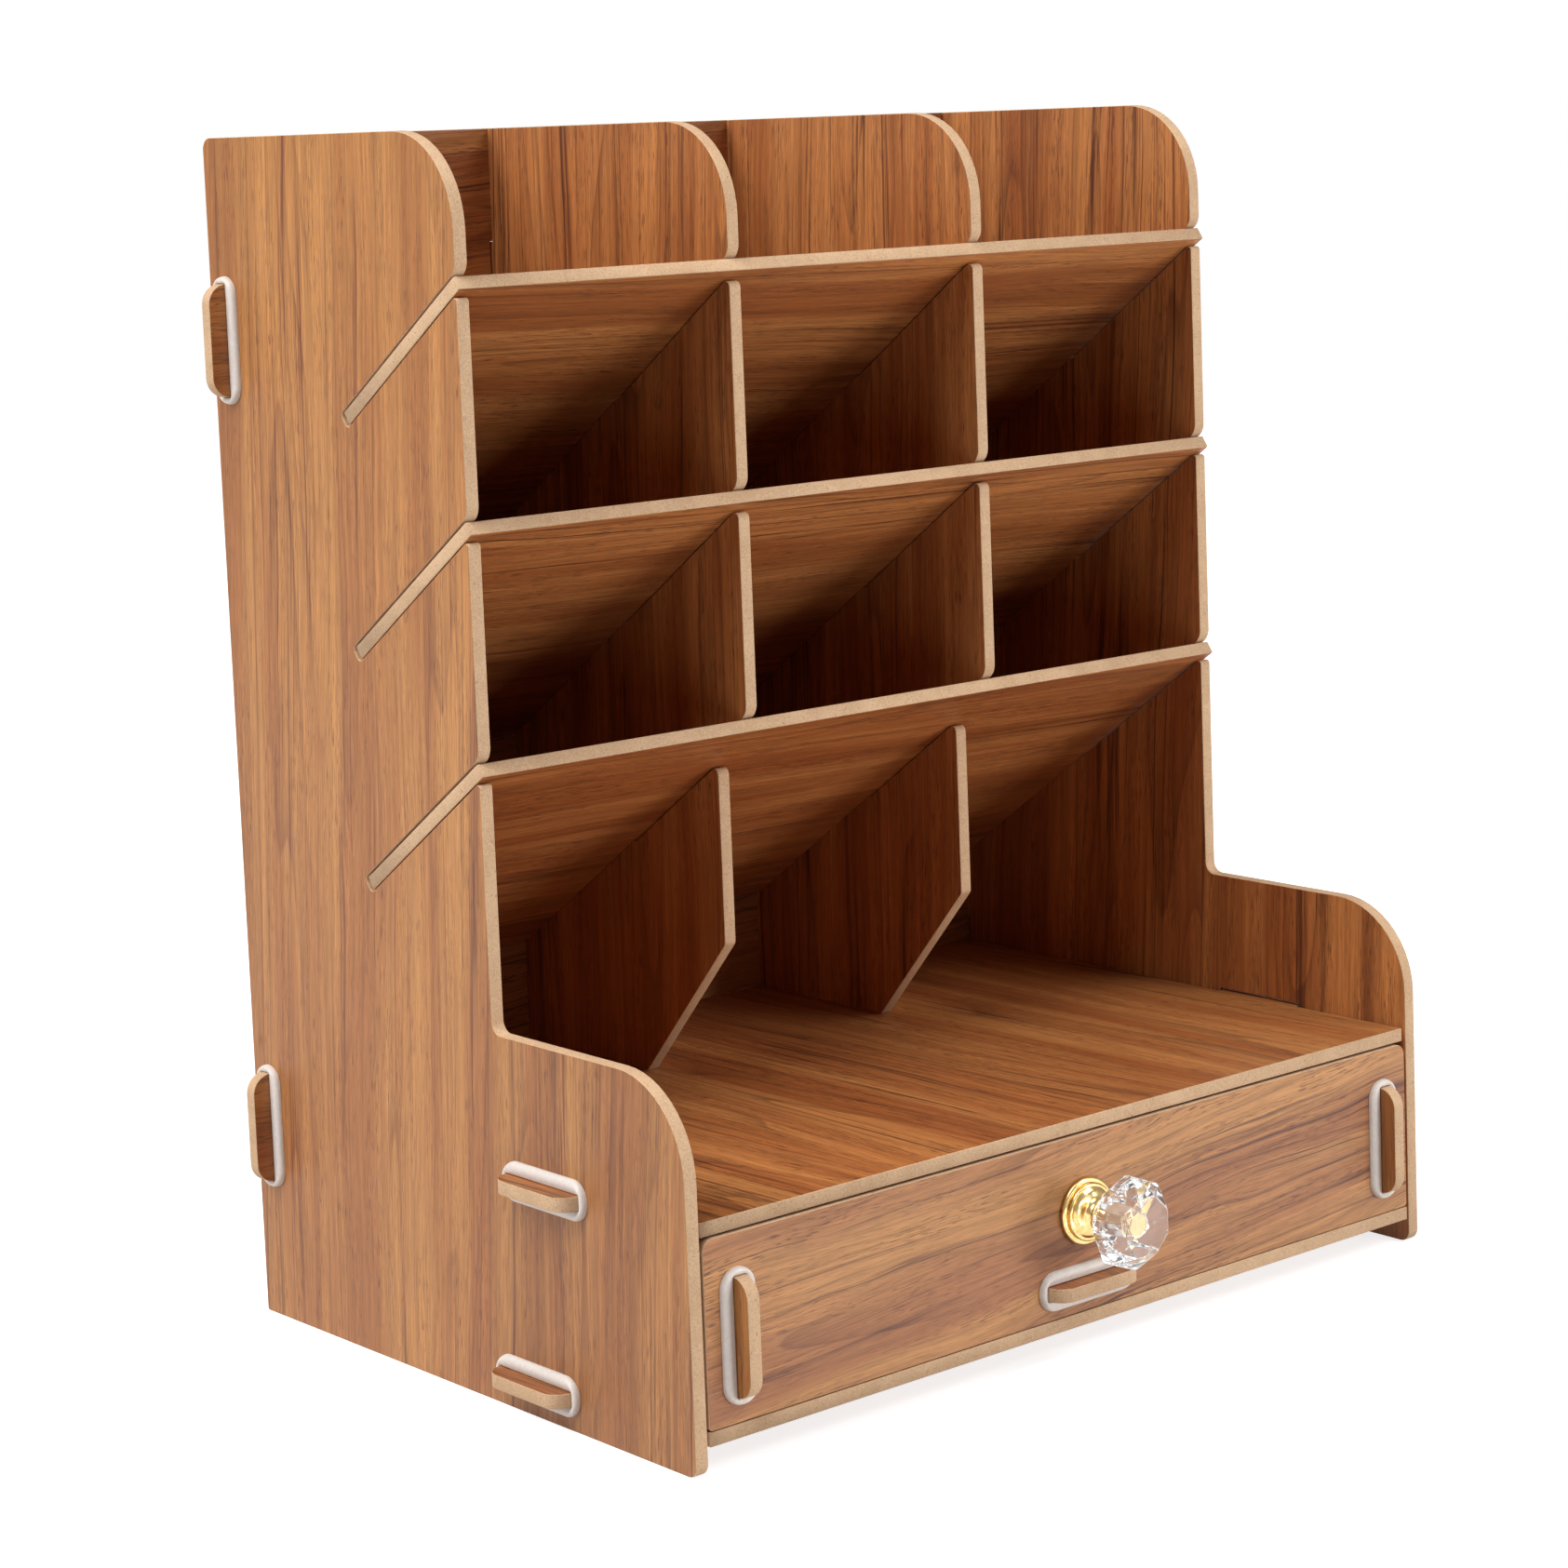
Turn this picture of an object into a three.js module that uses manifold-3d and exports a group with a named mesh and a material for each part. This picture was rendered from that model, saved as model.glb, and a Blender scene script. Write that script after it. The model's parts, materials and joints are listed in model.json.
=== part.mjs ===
// Pen holder with a drawer, assembled from flat boards with tabs, slots and plastic grommets.
// Millimetres, +X to the right, -Y to the front, +Z up, origin under the middle of the whole object.

import * as THREE from "three";
import { mergeVertices } from "three/addons/utils/BufferGeometryUtils.js";
import Module from "manifold-3d";

const wasm = await Module();
wasm.setup();

// Case
const board = 3.5; // thickness of every board
const caseWidth = 244; // across the outer faces of the side panels
const caseHeight = 300;
const caseDepth = 177; // of the drawer bay, from the side panels' back edges to their front edges
const upperDepth = 106.3; // of the pen compartments
const ledgeHeight = 90; // top of the side panels beside the tray
const archRadius = 23;
const cornerRadius = 3;
const heelRadius = 0.8; // of the side panels' lower back corners
const seatGap = 0.1; // between a board's shoulder or edge and what it stands against

// Boards across the case
const footHeight = 6.4; // from the table to the underside of the base
const bayHeight = 44.4; // clear height of the drawer bay
const bayTopSetback = 0.7; // of the bay top's front edge
const bayTopEndGap = 0.8; // beside the bay top and the base
const backInset = 5.3; // from the side panels' back edges to the back panel

// Slanted shelves
const slant = THREE.MathUtils.degToRad(34.3);
const shelfNames = ["upper_shelf", "middle_shelf", "lower_shelf"];
const topShelfDrop = 33.4; // from the top of the case to the upper shelf's top front edge
const lowShelfRise = 96; // from the tray to the lowest shelf's top front edge
const shelfSetback = 0.8; // of a shelf's top front edge behind the side panels' front edges
const lapDepth = 58.1; // length along the slope of a shelf's full-width front
const shelfBackGap = 0.5; // before the back panel
const slotPlayBelow = 0.3; // between a shelf and the lower edge of its slot
const slotPlayAbove = 0.6;
const slotEndPlay = 1.5; // left open where two half-laps meet
const slotCornerRadius = 1.4;
const slotLipRadius = 4.5; // rounding of the board above each slot's mouth
const slotNoseRadius = 1; // rounding of a side panel's sharp corner below each slot's mouth
const dividerNoseRadius = 1.6;

// Upright dividers
const dividerNames = ["left_divider", "right_divider"];
const dividerStep = 12; // how far the lowest row of a divider stands behind the rows above
const kneeHeight = 37.9; // from the tray to where the lowest row starts to slope back
const toeSetback = 34; // from the knee back to the toe on the tray
const kneeRadius = 2;
const lapPlay = 0.3; // on each side of a board in a half-lap

// Tabs and grommets
const tabLength = 28.1;
const tabReach = 6; // how far a tab stands out of the board that it passes through
const tabRadius = 5;
const tabPlay = 0.15; // between a tab and its grommet
const openingRadius = 0.4;
const rimWidth = 3; // of the flange beside the opening
const rimEndWidth = 1.7; // of the flange at the ends of the opening
const rimThickness = 1.6;
const rimRounding = 1.1;
const sleeveWall = 0.4;
const sleevePlay = 0.1; // between the sleeve and its slot
const sleeveSetback = 1; // of the sleeve's end inside the board's inner face
const rearTabSetback = 0.7; // of the tabs at the back of the case, inside the side panels' back edges
const backTabInset = 50; // from the top and the foot of the back panel to the middles of its tabs
const dividerTabDrop = 43.5; // from the top of a divider to the middle of its upper tab
const dividerTabLift = 52.2; // from the tray to the middle of a divider's lower tab
const bayTopTabSetback = 52.1; // from the side panels' front edges to the middles of the end tabs
const baseTabSetback = 58.3;

// Drawer
const drawerSidePlay = 0.7;
const drawerTopPlay = 0.5;
const drawerRunPlay = 0.15; // between the drawer and the base that it slides on
const drawerBackPlay = 0.8; // between the rear tabs and the back panel
const drawerFootRadius = 1; // of the drawer front's lower corners
const drawerTabMargin = 1.5; // from the bottom's end tabs out to the ends of the drawer front
const drawerWallDrop = 3.5; // from the top of the drawer front to the other walls' tops
const drawerFloorLift = 5.5; // of the drawer bottom above the lower edges of the sides
const sideTabInset = 11; // from the middle of the drawer's depth back to the bottom's end tabs

// Knob
const knobHeight = 24.9; // of the knob's axis above the drawer front's lower edge
const rosetteRadius = 8.4;
const rosetteThickness = 1.1;
const rosetteStepRadius = 7.2;
const rosetteStepThickness = 1.1;
const rosetteCrownRadius = 5.9;
const rosetteCrownThickness = 1.1;
const stemRadius = 2.8; // where the neck is narrowest
const stemLength = 2.1; // from the rosette to there
const collarRadius = 4.3;
const collarLength = 2.2;
const pegRadius = 2.9; // of the peg inside the crystal
const pegLength = 8.2;
const pegPlay = 0.3; // around and ahead of the peg
const collarGap = 0.3; // between the collar and the crystal
const crystalSides = 8;
const crystalRadius = 11.6; // to the corners
const crystalNeckRadius = 5.4;
const crystalBackLength = 6.5; // of the facets that widen from the neck
const girdleThickness = 2.6;
const crystalCrownLength = 4.3; // of the facets that narrow to the table
const tableRadius = 7;
const screwRadius = 1.5;
const screwHeadRadius = 3.6;
const screwHeadThickness = 2;
const screwHeadRounding = 0.7;
const screwLength = 10.4; // under the head
const screwTipGap = 1;
const screwPlay = 0.3; // in the drawer front
const threadPlay = 0.2; // in the knob
const headGap = 0.1;

// Facets and cuts
const chordSag = 0.09; // how far a facet may lie inside the true curve
const largestSagShare = 0.5; // of a small radius
const weldDistance = 0.001; // outline points closer than this are one
const overrun = 1; // how far a cutting body runs past what it cuts
const roundSides = 24;
const neckFacets = 6;
const rimFacets = 2;

// Places that follow from the sizes above
const halfWidth = caseWidth / 2;
const innerHalfWidth = halfWidth - board;
const baseTop = footHeight + board;
const bayTopUnderside = baseTop + bayHeight;
const trayHeight = bayTopUnderside + board;
const trayMiddle = trayHeight - board / 2; // middle of the bay top's thickness
const baseMiddle = baseTop - board / 2;
const backFace = backInset + board; // front face of the back panel
const backMiddle = backFace - board / 2;
const columnWidth = (2 * innerHalfWidth - dividerNames.length * board) / (dividerNames.length + 1);
const shelfFrontDepth = upperDepth - shelfSetback;
const shelfRange = caseHeight - topShelfDrop - trayHeight - lowShelfRise;
const shelfPitch = shelfRange / (shelfNames.length - 1); // measured upright
const rearTabReach = backInset - rearTabSetback;
const backTabHeights = [caseHeight - backTabInset, backTabInset];
const dividerTabHeights = [caseHeight - dividerTabDrop, trayHeight + dividerTabLift];
const bayTopTabDepth = caseDepth - bayTopTabSetback;
const baseTabDepth = caseDepth - baseTabSetback;
const slotRadius = openingRadius + sleeveWall + sleevePlay;
const slotHalfLength = tabLength / 2 + tabPlay + sleeveWall + sleevePlay;
const slotHalfWidth = board / 2 + tabPlay + sleeveWall + sleevePlay;
const drawerFrontBottom = baseTop + drawerRunPlay;
const drawerFrontHalfWidth = innerHalfWidth - drawerSidePlay;
const drawerFrontHeight = bayHeight - drawerRunPlay - drawerTopPlay;
const drawerWallHeight = drawerFrontHeight - drawerWallDrop;
const drawerInnerFront = caseDepth - board;
const drawerRear = backFace + drawerBackPlay + tabReach; // outer face of the drawer back
const drawerInnerRear = drawerRear + board;
const drawerSideFace = drawerFrontHalfWidth - drawerTabMargin - tabReach; // outer face of a drawer side
const drawerSideMiddle = drawerSideFace - board / 2;
const drawerSideTabHeight = drawerFrontBottom + drawerWallHeight / 2;
const drawerFloorMiddle = drawerFrontBottom + drawerFloorLift + board / 2;

// Distances in front of the drawer front, along the knob's axis
const stepDepth = rosetteThickness + rosetteStepThickness;
const crownDepth = stepDepth + rosetteCrownThickness;
const neckDepth = crownDepth + stemLength;
const collarDepth = neckDepth + collarLength;
const pegDepth = collarDepth + pegLength;
const crystalBackDepth = collarDepth + collarGap;
const girdleDepth = crystalBackDepth + crystalBackLength;
const tableDepth = girdleDepth + girdleThickness + crystalCrownLength;
const screwTipDepth = screwLength - board - headGap;
const objectDepth = caseDepth + tableDepth;

// Colours and finishes
const finishes = {
  uprightBoard: { color: "#c8915f", roughness: 0.55, metalness: 0 },
  flatBoard: { color: "#b97b48", roughness: 0.55, metalness: 0 },
  plastic: { color: "#d8d2d1", roughness: 0.4, metalness: 0 },
  gold: { color: "#e6b43c", roughness: 0.18, metalness: 1 },
  crystal: { color: "#eef2f5", roughness: 0.03, metalness: 0 },
};

// An outline is a list of corners { a, b, r }: two coordinates in the board's own plane and a rounding.
const corner = (a, b, r = 0) => ({ a, b, r });

// Points of the arc that rounds one corner between its two neighbours.
function roundedCorner(before, here, after) {
  const point = new THREE.Vector2(here.a, here.b);
  if (here.r <= 0) return [point];
  const toBefore = new THREE.Vector2(before.a, before.b).sub(point).normalize();
  const toAfter = new THREE.Vector2(after.a, after.b).sub(point).normalize();
  const halfAngle = Math.acos(toBefore.dot(toAfter)) / 2;
  const middle = toBefore.clone().add(toAfter).normalize();
  const centre = point.clone().addScaledVector(middle, here.r / Math.sin(halfAngle));
  const start = point.clone().addScaledVector(toBefore, here.r / Math.tan(halfAngle)).sub(centre);
  const sweep = Math.PI - 2 * halfAngle;
  const turn = Math.sign(toBefore.cross(toAfter));
  const step = 2 * Math.acos(1 - Math.min(chordSag / here.r, largestSagShare));
  const count = Math.max(2, Math.ceil(sweep / step));
  const origin = new THREE.Vector2();
  return Array.from({ length: count + 1 }, (_, i) =>
    start.clone().rotateAround(origin, (-turn * sweep * i) / count).add(centre),
  );
}

function roundedOutline(corners) {
  const count = corners.length;
  const points = corners.flatMap((here, i) =>
    roundedCorner(corners[(i + count - 1) % count], here, corners[(i + 1) % count]),
  );
  return points.filter((point, i) => point.distanceTo(points.at(i - 1)) > weldDistance);
}

function rectangle(a0, a1, b0, b1, r = 0) {
  return [corner(a0, b0, r), corner(a1, b0, r), corner(a1, b1, r), corner(a0, b1, r)];
}

// A flat plate from an outline and its holes, from 0 to the thickness along its third axis.
function plate(outline, thickness, holes = []) {
  const shape = new THREE.Shape(roundedOutline(outline));
  shape.holes = holes.map((hole) => new THREE.Path(roundedOutline(hole)));
  return new THREE.ExtrudeGeometry(shape, { depth: thickness, bevelEnabled: false });
}

// Solids for joining and cutting
function toSolid(geometry) {
  const bare = geometry.clone();
  bare.deleteAttribute("normal");
  bare.deleteAttribute("uv");
  const merged = mergeVertices(bare);
  const vertProperties = new Float32Array(merged.attributes.position.array);
  const triVerts = new Uint32Array(merged.index.array);
  return new wasm.Manifold(new wasm.Mesh({ numProp: 3, vertProperties, triVerts }));
}

function toGeometry(solid) {
  const { vertProperties, triVerts, numProp } = solid.getMesh();
  const points = [];
  for (let i = 0; i < vertProperties.length; i += numProp) {
    points.push(vertProperties[i], vertProperties[i + 1], vertProperties[i + 2]);
  }
  const geometry = new THREE.BufferGeometry();
  geometry.setAttribute("position", new THREE.Float32BufferAttribute(points, 3));
  geometry.setIndex(Array.from(triVerts));
  return geometry;
}

// The object as a tree: the case and the drawer share a frame with Y = -(depth from the case's back).
const penHolder = new THREE.Group();
const frame = new THREE.Group();
frame.position.y = objectDepth / 2;
penHolder.add(frame);

// Directions of a plate's own axes in the object
const right = new THREE.Vector3(1, 0, 0);
const left = right.clone().negate();
const back = new THREE.Vector3(0, 1, 0);
const front = back.clone().negate();
const up = new THREE.Vector3(0, 0, 1);
const down = up.clone().negate();

function place(name, geometry, finish, axes, position) {
  const mesh = new THREE.Mesh(geometry, new THREE.MeshStandardMaterial(finishes[finish]));
  mesh.name = name;
  mesh.quaternion.setFromRotationMatrix(new THREE.Matrix4().makeBasis(...axes));
  mesh.position.set(...position);
  frame.add(mesh);
}

// Upright board seen from the side: outline in depth and height, from its right face to the left.
const sideOn = [front, up, left];
// Upright board seen from the front: outline in width and height, from its back face to the front.
const frontOn = [right, up, front];
// Level board seen from below: outline in width and depth, from its top face down.
const levelOn = [right, front, down];

// Board edges with tabs
const noTabs = { at: [], reach: 0 };

// Corners of one edge, from its start up to its end, with a tab round each centre.
// Tabs stand out on the right-hand side of the way along the edge.
function tabbedEdge(start, end, tabCentres, reach) {
  const along = new THREE.Vector2(end.a - start.a, end.b - start.b).normalize();
  const spot = (distance, out, r) =>
    corner(start.a + along.x * distance + along.y * out, start.b + along.y * distance - along.x * out, r);
  return [
    start,
    ...tabCentres.toSorted((near, far) => near - far).flatMap((centre) => [
      spot(centre - tabLength / 2, 0),
      spot(centre - tabLength / 2, reach, tabRadius),
      spot(centre + tabLength / 2, reach, tabRadius),
      spot(centre + tabLength / 2, 0),
    ]),
  ];
}

// A rectangle whose sides may have tabs: low and high are the sides at b0 and b1, first and last those
// at a0 and a1. A side's tabs are { at, reach }, with their centres in the outline's own coordinates.
function tabbedRectangle(a0, a1, b0, b1, { low = noTabs, last = noTabs, high = noTabs, first = noTabs }) {
  return [
    ...tabbedEdge(corner(a0, b0), corner(a1, b0), low.at.map((a) => a - a0), low.reach),
    ...tabbedEdge(corner(a1, b0), corner(a1, b1), last.at.map((b) => b - b0), last.reach),
    ...tabbedEdge(corner(a1, b1), corner(a0, b1), high.at.map((a) => a1 - a), high.reach),
    ...tabbedEdge(corner(a0, b1), corner(a0, b0), first.at.map((b) => b1 - b), first.reach),
  ];
}

// A slot for a grommet; along is the outline axis that its long side follows.
function slotAt(a, b, along) {
  const halfA = along === "a" ? slotHalfLength : slotHalfWidth;
  const halfB = along === "a" ? slotHalfWidth : slotHalfLength;
  return rectangle(a - halfA, a + halfA, b - halfB, b + halfB, slotRadius);
}

// Slanted shelves
const shelfLength = (shelfFrontDepth - backFace - shelfBackGap) / Math.cos(slant);
const shelfFrontHeight = (level) => caseHeight - topShelfDrop - level * shelfPitch;

// Depth and height of a point near a shelf: its way down the slope from the top front edge, and its
// distance over the shelf's top face.
function nearShelf(level, downSlope, over, r) {
  const depth = shelfFrontDepth - downSlope * Math.cos(slant) - over * Math.sin(slant);
  const height = shelfFrontHeight(level) - downSlope * Math.sin(slant) + over * Math.cos(slant);
  return corner(depth, height, r);
}

// Where a line along the slope, so far over the shelf's top face, crosses a given depth.
function nearShelfAtDepth(level, depth, over, r) {
  const downSlope = (shelfFrontDepth - depth - over * Math.sin(slant)) / Math.cos(slant);
  return nearShelf(level, downSlope, over, r);
}

// The open slot that holds a shelf, in an upright board with these front edges below and above it.
function shelfSlot(level, depthBelow, depthAbove, noseRadius) {
  const lower = -board - slotPlayBelow;
  const slotEnd = lapDepth + slotEndPlay;
  return [
    nearShelfAtDepth(level, depthBelow, lower, noseRadius),
    nearShelf(level, slotEnd, lower, slotCornerRadius),
    nearShelf(level, slotEnd, slotPlayAbove, slotCornerRadius),
    nearShelfAtDepth(level, depthAbove, slotPlayAbove, slotLipRadius),
  ];
}

const columnPitch = columnWidth + board;
const dividerMiddles = dividerNames.map((_, i) => (i + 1) * columnPitch - board / 2 - innerHalfWidth);

function shelfOutline() {
  const rearHalf = innerHalfWidth - seatGap;
  const lapHalf = board / 2 + lapPlay;
  const laps = dividerMiddles.toReversed().flatMap((middle) => [
    corner(middle + lapHalf, shelfLength),
    corner(middle + lapHalf, lapDepth, slotCornerRadius),
    corner(middle - lapHalf, lapDepth, slotCornerRadius),
    corner(middle - lapHalf, shelfLength),
  ]);
  return [
    corner(-halfWidth, 0),
    corner(halfWidth, 0),
    corner(halfWidth, lapDepth),
    corner(rearHalf, lapDepth),
    corner(rearHalf, shelfLength),
    ...laps,
    corner(-rearHalf, shelfLength),
    corner(-rearHalf, lapDepth),
    corner(-halfWidth, lapDepth),
  ];
}

function addShelves() {
  const downSlope = new THREE.Vector3(0, Math.cos(slant), -Math.sin(slant));
  const over = new THREE.Vector3(0, Math.sin(slant), Math.cos(slant));
  shelfNames.forEach((name, level) => {
    const underside = nearShelf(level, 0, -board);
    const axes = [right, downSlope, over];
    place(name, plate(shelfOutline(), board), "flatBoard", axes, [0, -underside.a, underside.b]);
  });
}

// Upright boards from side to side of the case
const levelsUpward = shelfNames.map((_, level) => level).toReversed();

function addSidePanels() {
  const outline = [
    corner(0, 0, heelRadius),
    corner(caseDepth, 0, cornerRadius),
    corner(caseDepth, ledgeHeight, archRadius),
    corner(upperDepth, ledgeHeight, cornerRadius),
    ...levelsUpward.flatMap((level) => shelfSlot(level, upperDepth, upperDepth, slotNoseRadius)),
    corner(upperDepth, caseHeight, archRadius),
    corner(0, caseHeight, cornerRadius),
  ];
  const slots = [
    ...backTabHeights.map((height) => slotAt(backMiddle, height, "b")),
    slotAt(bayTopTabDepth, trayMiddle, "a"),
    slotAt(baseTabDepth, baseMiddle, "a"),
  ];
  place("left_side_panel", plate(outline, board, slots), "uprightBoard", sideOn, [-innerHalfWidth, 0, 0]);
  place("right_side_panel", plate(outline, board, slots), "uprightBoard", sideOn, [halfWidth, 0, 0]);
}

function addDividers() {
  const lowDepth = upperDepth - dividerStep;
  const lowest = levelsUpward[0];
  const foot = trayHeight + seatGap;
  const rear = backFace + seatGap;
  const reach = seatGap + board + rearTabReach;
  const outline = [
    corner(rear, foot),
    corner(lowDepth - toeSetback, foot),
    corner(lowDepth, trayHeight + kneeHeight, kneeRadius),
    ...levelsUpward.flatMap((level) =>
      shelfSlot(level, level === lowest ? lowDepth : upperDepth, upperDepth, dividerNoseRadius),
    ),
    corner(upperDepth, caseHeight, archRadius),
    ...tabbedEdge(
      corner(rear, caseHeight),
      corner(rear, foot),
      dividerTabHeights.map((height) => caseHeight - height),
      reach,
    ),
  ];
  dividerNames.forEach((name, i) => {
    place(name, plate(outline, board), "uprightBoard", sideOn, [dividerMiddles[i] + board / 2, 0, 0]);
  });
}

function addBackPanel() {
  const half = innerHalfWidth - seatGap;
  const endTabs = { at: backTabHeights, reach: seatGap + board + tabReach };
  const outline = tabbedRectangle(-half, half, 0, caseHeight, { first: endTabs, last: endTabs });
  const slots = [
    ...dividerMiddles.flatMap((middle) => dividerTabHeights.map((height) => slotAt(middle, height, "b"))),
    slotAt(0, trayMiddle, "a"),
    slotAt(0, baseMiddle, "a"),
  ];
  place("back_panel", plate(outline, board, slots), "flatBoard", frontOn, [0, -backInset, 0]);
}

// A level board of the case, with a tab on each end and one through the back panel
function addLevelBoard(name, topHeight, frontDepth, endTabDepth) {
  const half = innerHalfWidth - bayTopEndGap;
  const endTabs = { at: [endTabDepth], reach: bayTopEndGap + board + tabReach };
  const rearTab = { at: [0], reach: seatGap + board + rearTabReach };
  const outline = tabbedRectangle(-half, half, backFace + seatGap, frontDepth, {
    first: endTabs,
    last: endTabs,
    low: rearTab,
  });
  place(name, plate(outline, board), "flatBoard", levelOn, [0, 0, topHeight]);
}

// Drawer
const knobAxisHeight = drawerFrontBottom + knobHeight;
const drawerMiddleDepth = (drawerInnerFront + drawerInnerRear) / 2;
const floorTabDepth = drawerMiddleDepth - sideTabInset;

function drawerEndSlots() {
  return [
    slotAt(-drawerSideMiddle, drawerSideTabHeight, "b"),
    slotAt(drawerSideMiddle, drawerSideTabHeight, "b"),
    slotAt(0, drawerFloorMiddle, "a"),
  ];
}

function addDrawerFront() {
  const [half, bottom] = [drawerFrontHalfWidth, drawerFrontBottom];
  const top = bottom + drawerFrontHeight;
  const outline = [
    corner(-half, bottom, drawerFootRadius),
    corner(half, bottom, drawerFootRadius),
    corner(half, top, cornerRadius),
    corner(-half, top, cornerRadius),
  ];
  const r = screwRadius + screwPlay;
  const screwHole = rectangle(-r, r, knobAxisHeight - r, knobAxisHeight + r, r);
  const holes = [...drawerEndSlots(), screwHole];
  place("drawer_front", plate(outline, board, holes), "flatBoard", frontOn, [0, -drawerInnerFront, 0]);
}

function addDrawerBack() {
  const [half, bottom] = [drawerFrontHalfWidth, drawerFrontBottom];
  const outline = rectangle(-half, half, bottom, bottom + drawerWallHeight, cornerRadius);
  place("drawer_back", plate(outline, board, drawerEndSlots()), "flatBoard", frontOn, [0, -drawerRear, 0]);
}

function addDrawerSides() {
  const endTabs = { at: [drawerSideTabHeight], reach: seatGap + board + tabReach };
  const outline = tabbedRectangle(
    drawerInnerRear + seatGap,
    drawerInnerFront - seatGap,
    drawerFrontBottom,
    drawerFrontBottom + drawerWallHeight,
    { first: endTabs, last: endTabs },
  );
  const geometry = plate(outline, board, [slotAt(floorTabDepth, drawerFloorMiddle, "a")]);
  place("drawer_left_side", geometry, "uprightBoard", sideOn, [board - drawerSideFace, 0, 0]);
  place("drawer_right_side", geometry, "uprightBoard", sideOn, [drawerSideFace, 0, 0]);
}

function addDrawerBottom() {
  const half = drawerSideFace - board - seatGap;
  const reach = seatGap + board + tabReach;
  const outline = tabbedRectangle(-half, half, drawerInnerRear + seatGap, drawerInnerFront - seatGap, {
    first: { at: [floorTabDepth], reach },
    last: { at: [floorTabDepth], reach },
    low: { at: [0], reach },
    high: { at: [0], reach },
  });
  const position = [0, 0, drawerFloorMiddle + board / 2];
  place("drawer_bottom", plate(outline, board), "flatBoard", levelOn, position);
}

// Knob: profiles of radius against the distance in front of the drawer front
const profile = (...points) => points.map(([radius, depth]) => new THREE.Vector2(radius, depth));
const knobPosition = [0, -caseDepth, knobAxisHeight];

// Evenly spaced points of a curve through the given profile points
function smoothProfile(points, spaces) {
  return new THREE.SplineCurve(points).getPoints(spaces);
}

function addKnobBase() {
  const boreEnd = screwTipDepth + screwTipGap;
  const boreRadius = screwRadius + threadPlay;
  const neck = smoothProfile(
    profile([rosetteCrownRadius, crownDepth], [stemRadius, neckDepth], [collarRadius, collarDepth]),
    neckFacets,
  );
  const points = [
    ...profile(
      [0, boreEnd],
      [boreRadius, boreEnd],
      [boreRadius, headGap],
      [rosetteRadius, headGap],
      [rosetteRadius, rosetteThickness],
      [rosetteStepRadius, rosetteThickness],
      [rosetteStepRadius, stepDepth],
      [rosetteCrownRadius, stepDepth],
    ),
    ...neck,
    ...profile([pegRadius, collarDepth], [pegRadius, pegDepth], [0, pegDepth]),
  ];
  place("knob_base", new THREE.LatheGeometry(points, roundSides), "gold", levelOn, knobPosition);
}

function addKnobCrystal() {
  const boreRadius = (pegRadius + pegPlay) / Math.cos(Math.PI / crystalSides);
  const boreEnd = pegDepth + pegPlay;
  const points = profile(
    [0, boreEnd],
    [boreRadius, boreEnd],
    [boreRadius, crystalBackDepth],
    [crystalNeckRadius, crystalBackDepth],
    [crystalRadius, girdleDepth],
    [crystalRadius, girdleDepth + girdleThickness],
    [tableRadius, tableDepth],
    [0, tableDepth],
  );
  place("knob_crystal", new THREE.LatheGeometry(points, crystalSides), "crystal", levelOn, knobPosition);
}

function addKnobScrew() {
  const underHead = -board - headGap;
  const points = profile(
    [0, underHead - screwHeadThickness],
    [screwHeadRadius - screwHeadRounding, underHead - screwHeadThickness],
    [screwHeadRadius, underHead - screwHeadThickness + screwHeadRounding],
    [screwHeadRadius, underHead],
    [screwRadius, underHead],
    [screwRadius, screwTipDepth],
    [0, screwTipDepth],
  );
  place("knob_screw", new THREE.LatheGeometry(points, roundSides), "gold", levelOn, knobPosition);
}

// Grommets: a flange with a rounded rim, and a sleeve through the board's slot
function grommetGeometry() {
  const [long, short] = [tabLength / 2 + tabPlay, board / 2 + tabPlay];
  const ring = (atEnds, beside, r) =>
    rectangle(-long - atEnds, long + atEnds, -short - beside, short + beside, r);
  const flatRim = rimWidth - rimRounding;
  const rimOutline = ring(rimEndWidth - rimRounding, flatRim, short + flatRim);
  const rim = new THREE.ExtrudeGeometry(new THREE.Shape(roundedOutline(rimOutline)), {
    depth: rimThickness - rimRounding + overrun,
    bevelThickness: rimRounding,
    bevelSize: rimRounding,
    bevelSegments: rimFacets,
  }).translate(0, 0, -overrun);
  const sleeveOutline = ring(sleeveWall, sleeveWall, openingRadius + sleeveWall);
  const sleeveLength = board - sleeveSetback + rimThickness / 2; // up into the flange
  const sleeve = plate(sleeveOutline, sleeveLength).translate(0, 0, sleeveSetback - board);
  const opening = plate(ring(0, 0, openingRadius), board + rimThickness + 2 * overrun);
  opening.translate(0, 0, -board - overrun);
  const reach = long + rimWidth + overrun;
  const below = plate(rectangle(-reach, reach, -reach, reach), reach).translate(0, 0, -reach);
  const flange = toSolid(rim).subtract(toSolid(below));
  return toGeometry(flange.add(toSolid(sleeve)).subtract(toSolid(opening)));
}

const grommet = grommetGeometry();

// A grommet on the face that looks outward, with its long side along the given direction
function addGrommet(name, along, outward, position) {
  const across = outward.clone().cross(along);
  place(name, grommet, "plastic", [along, across, outward], position);
}

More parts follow.
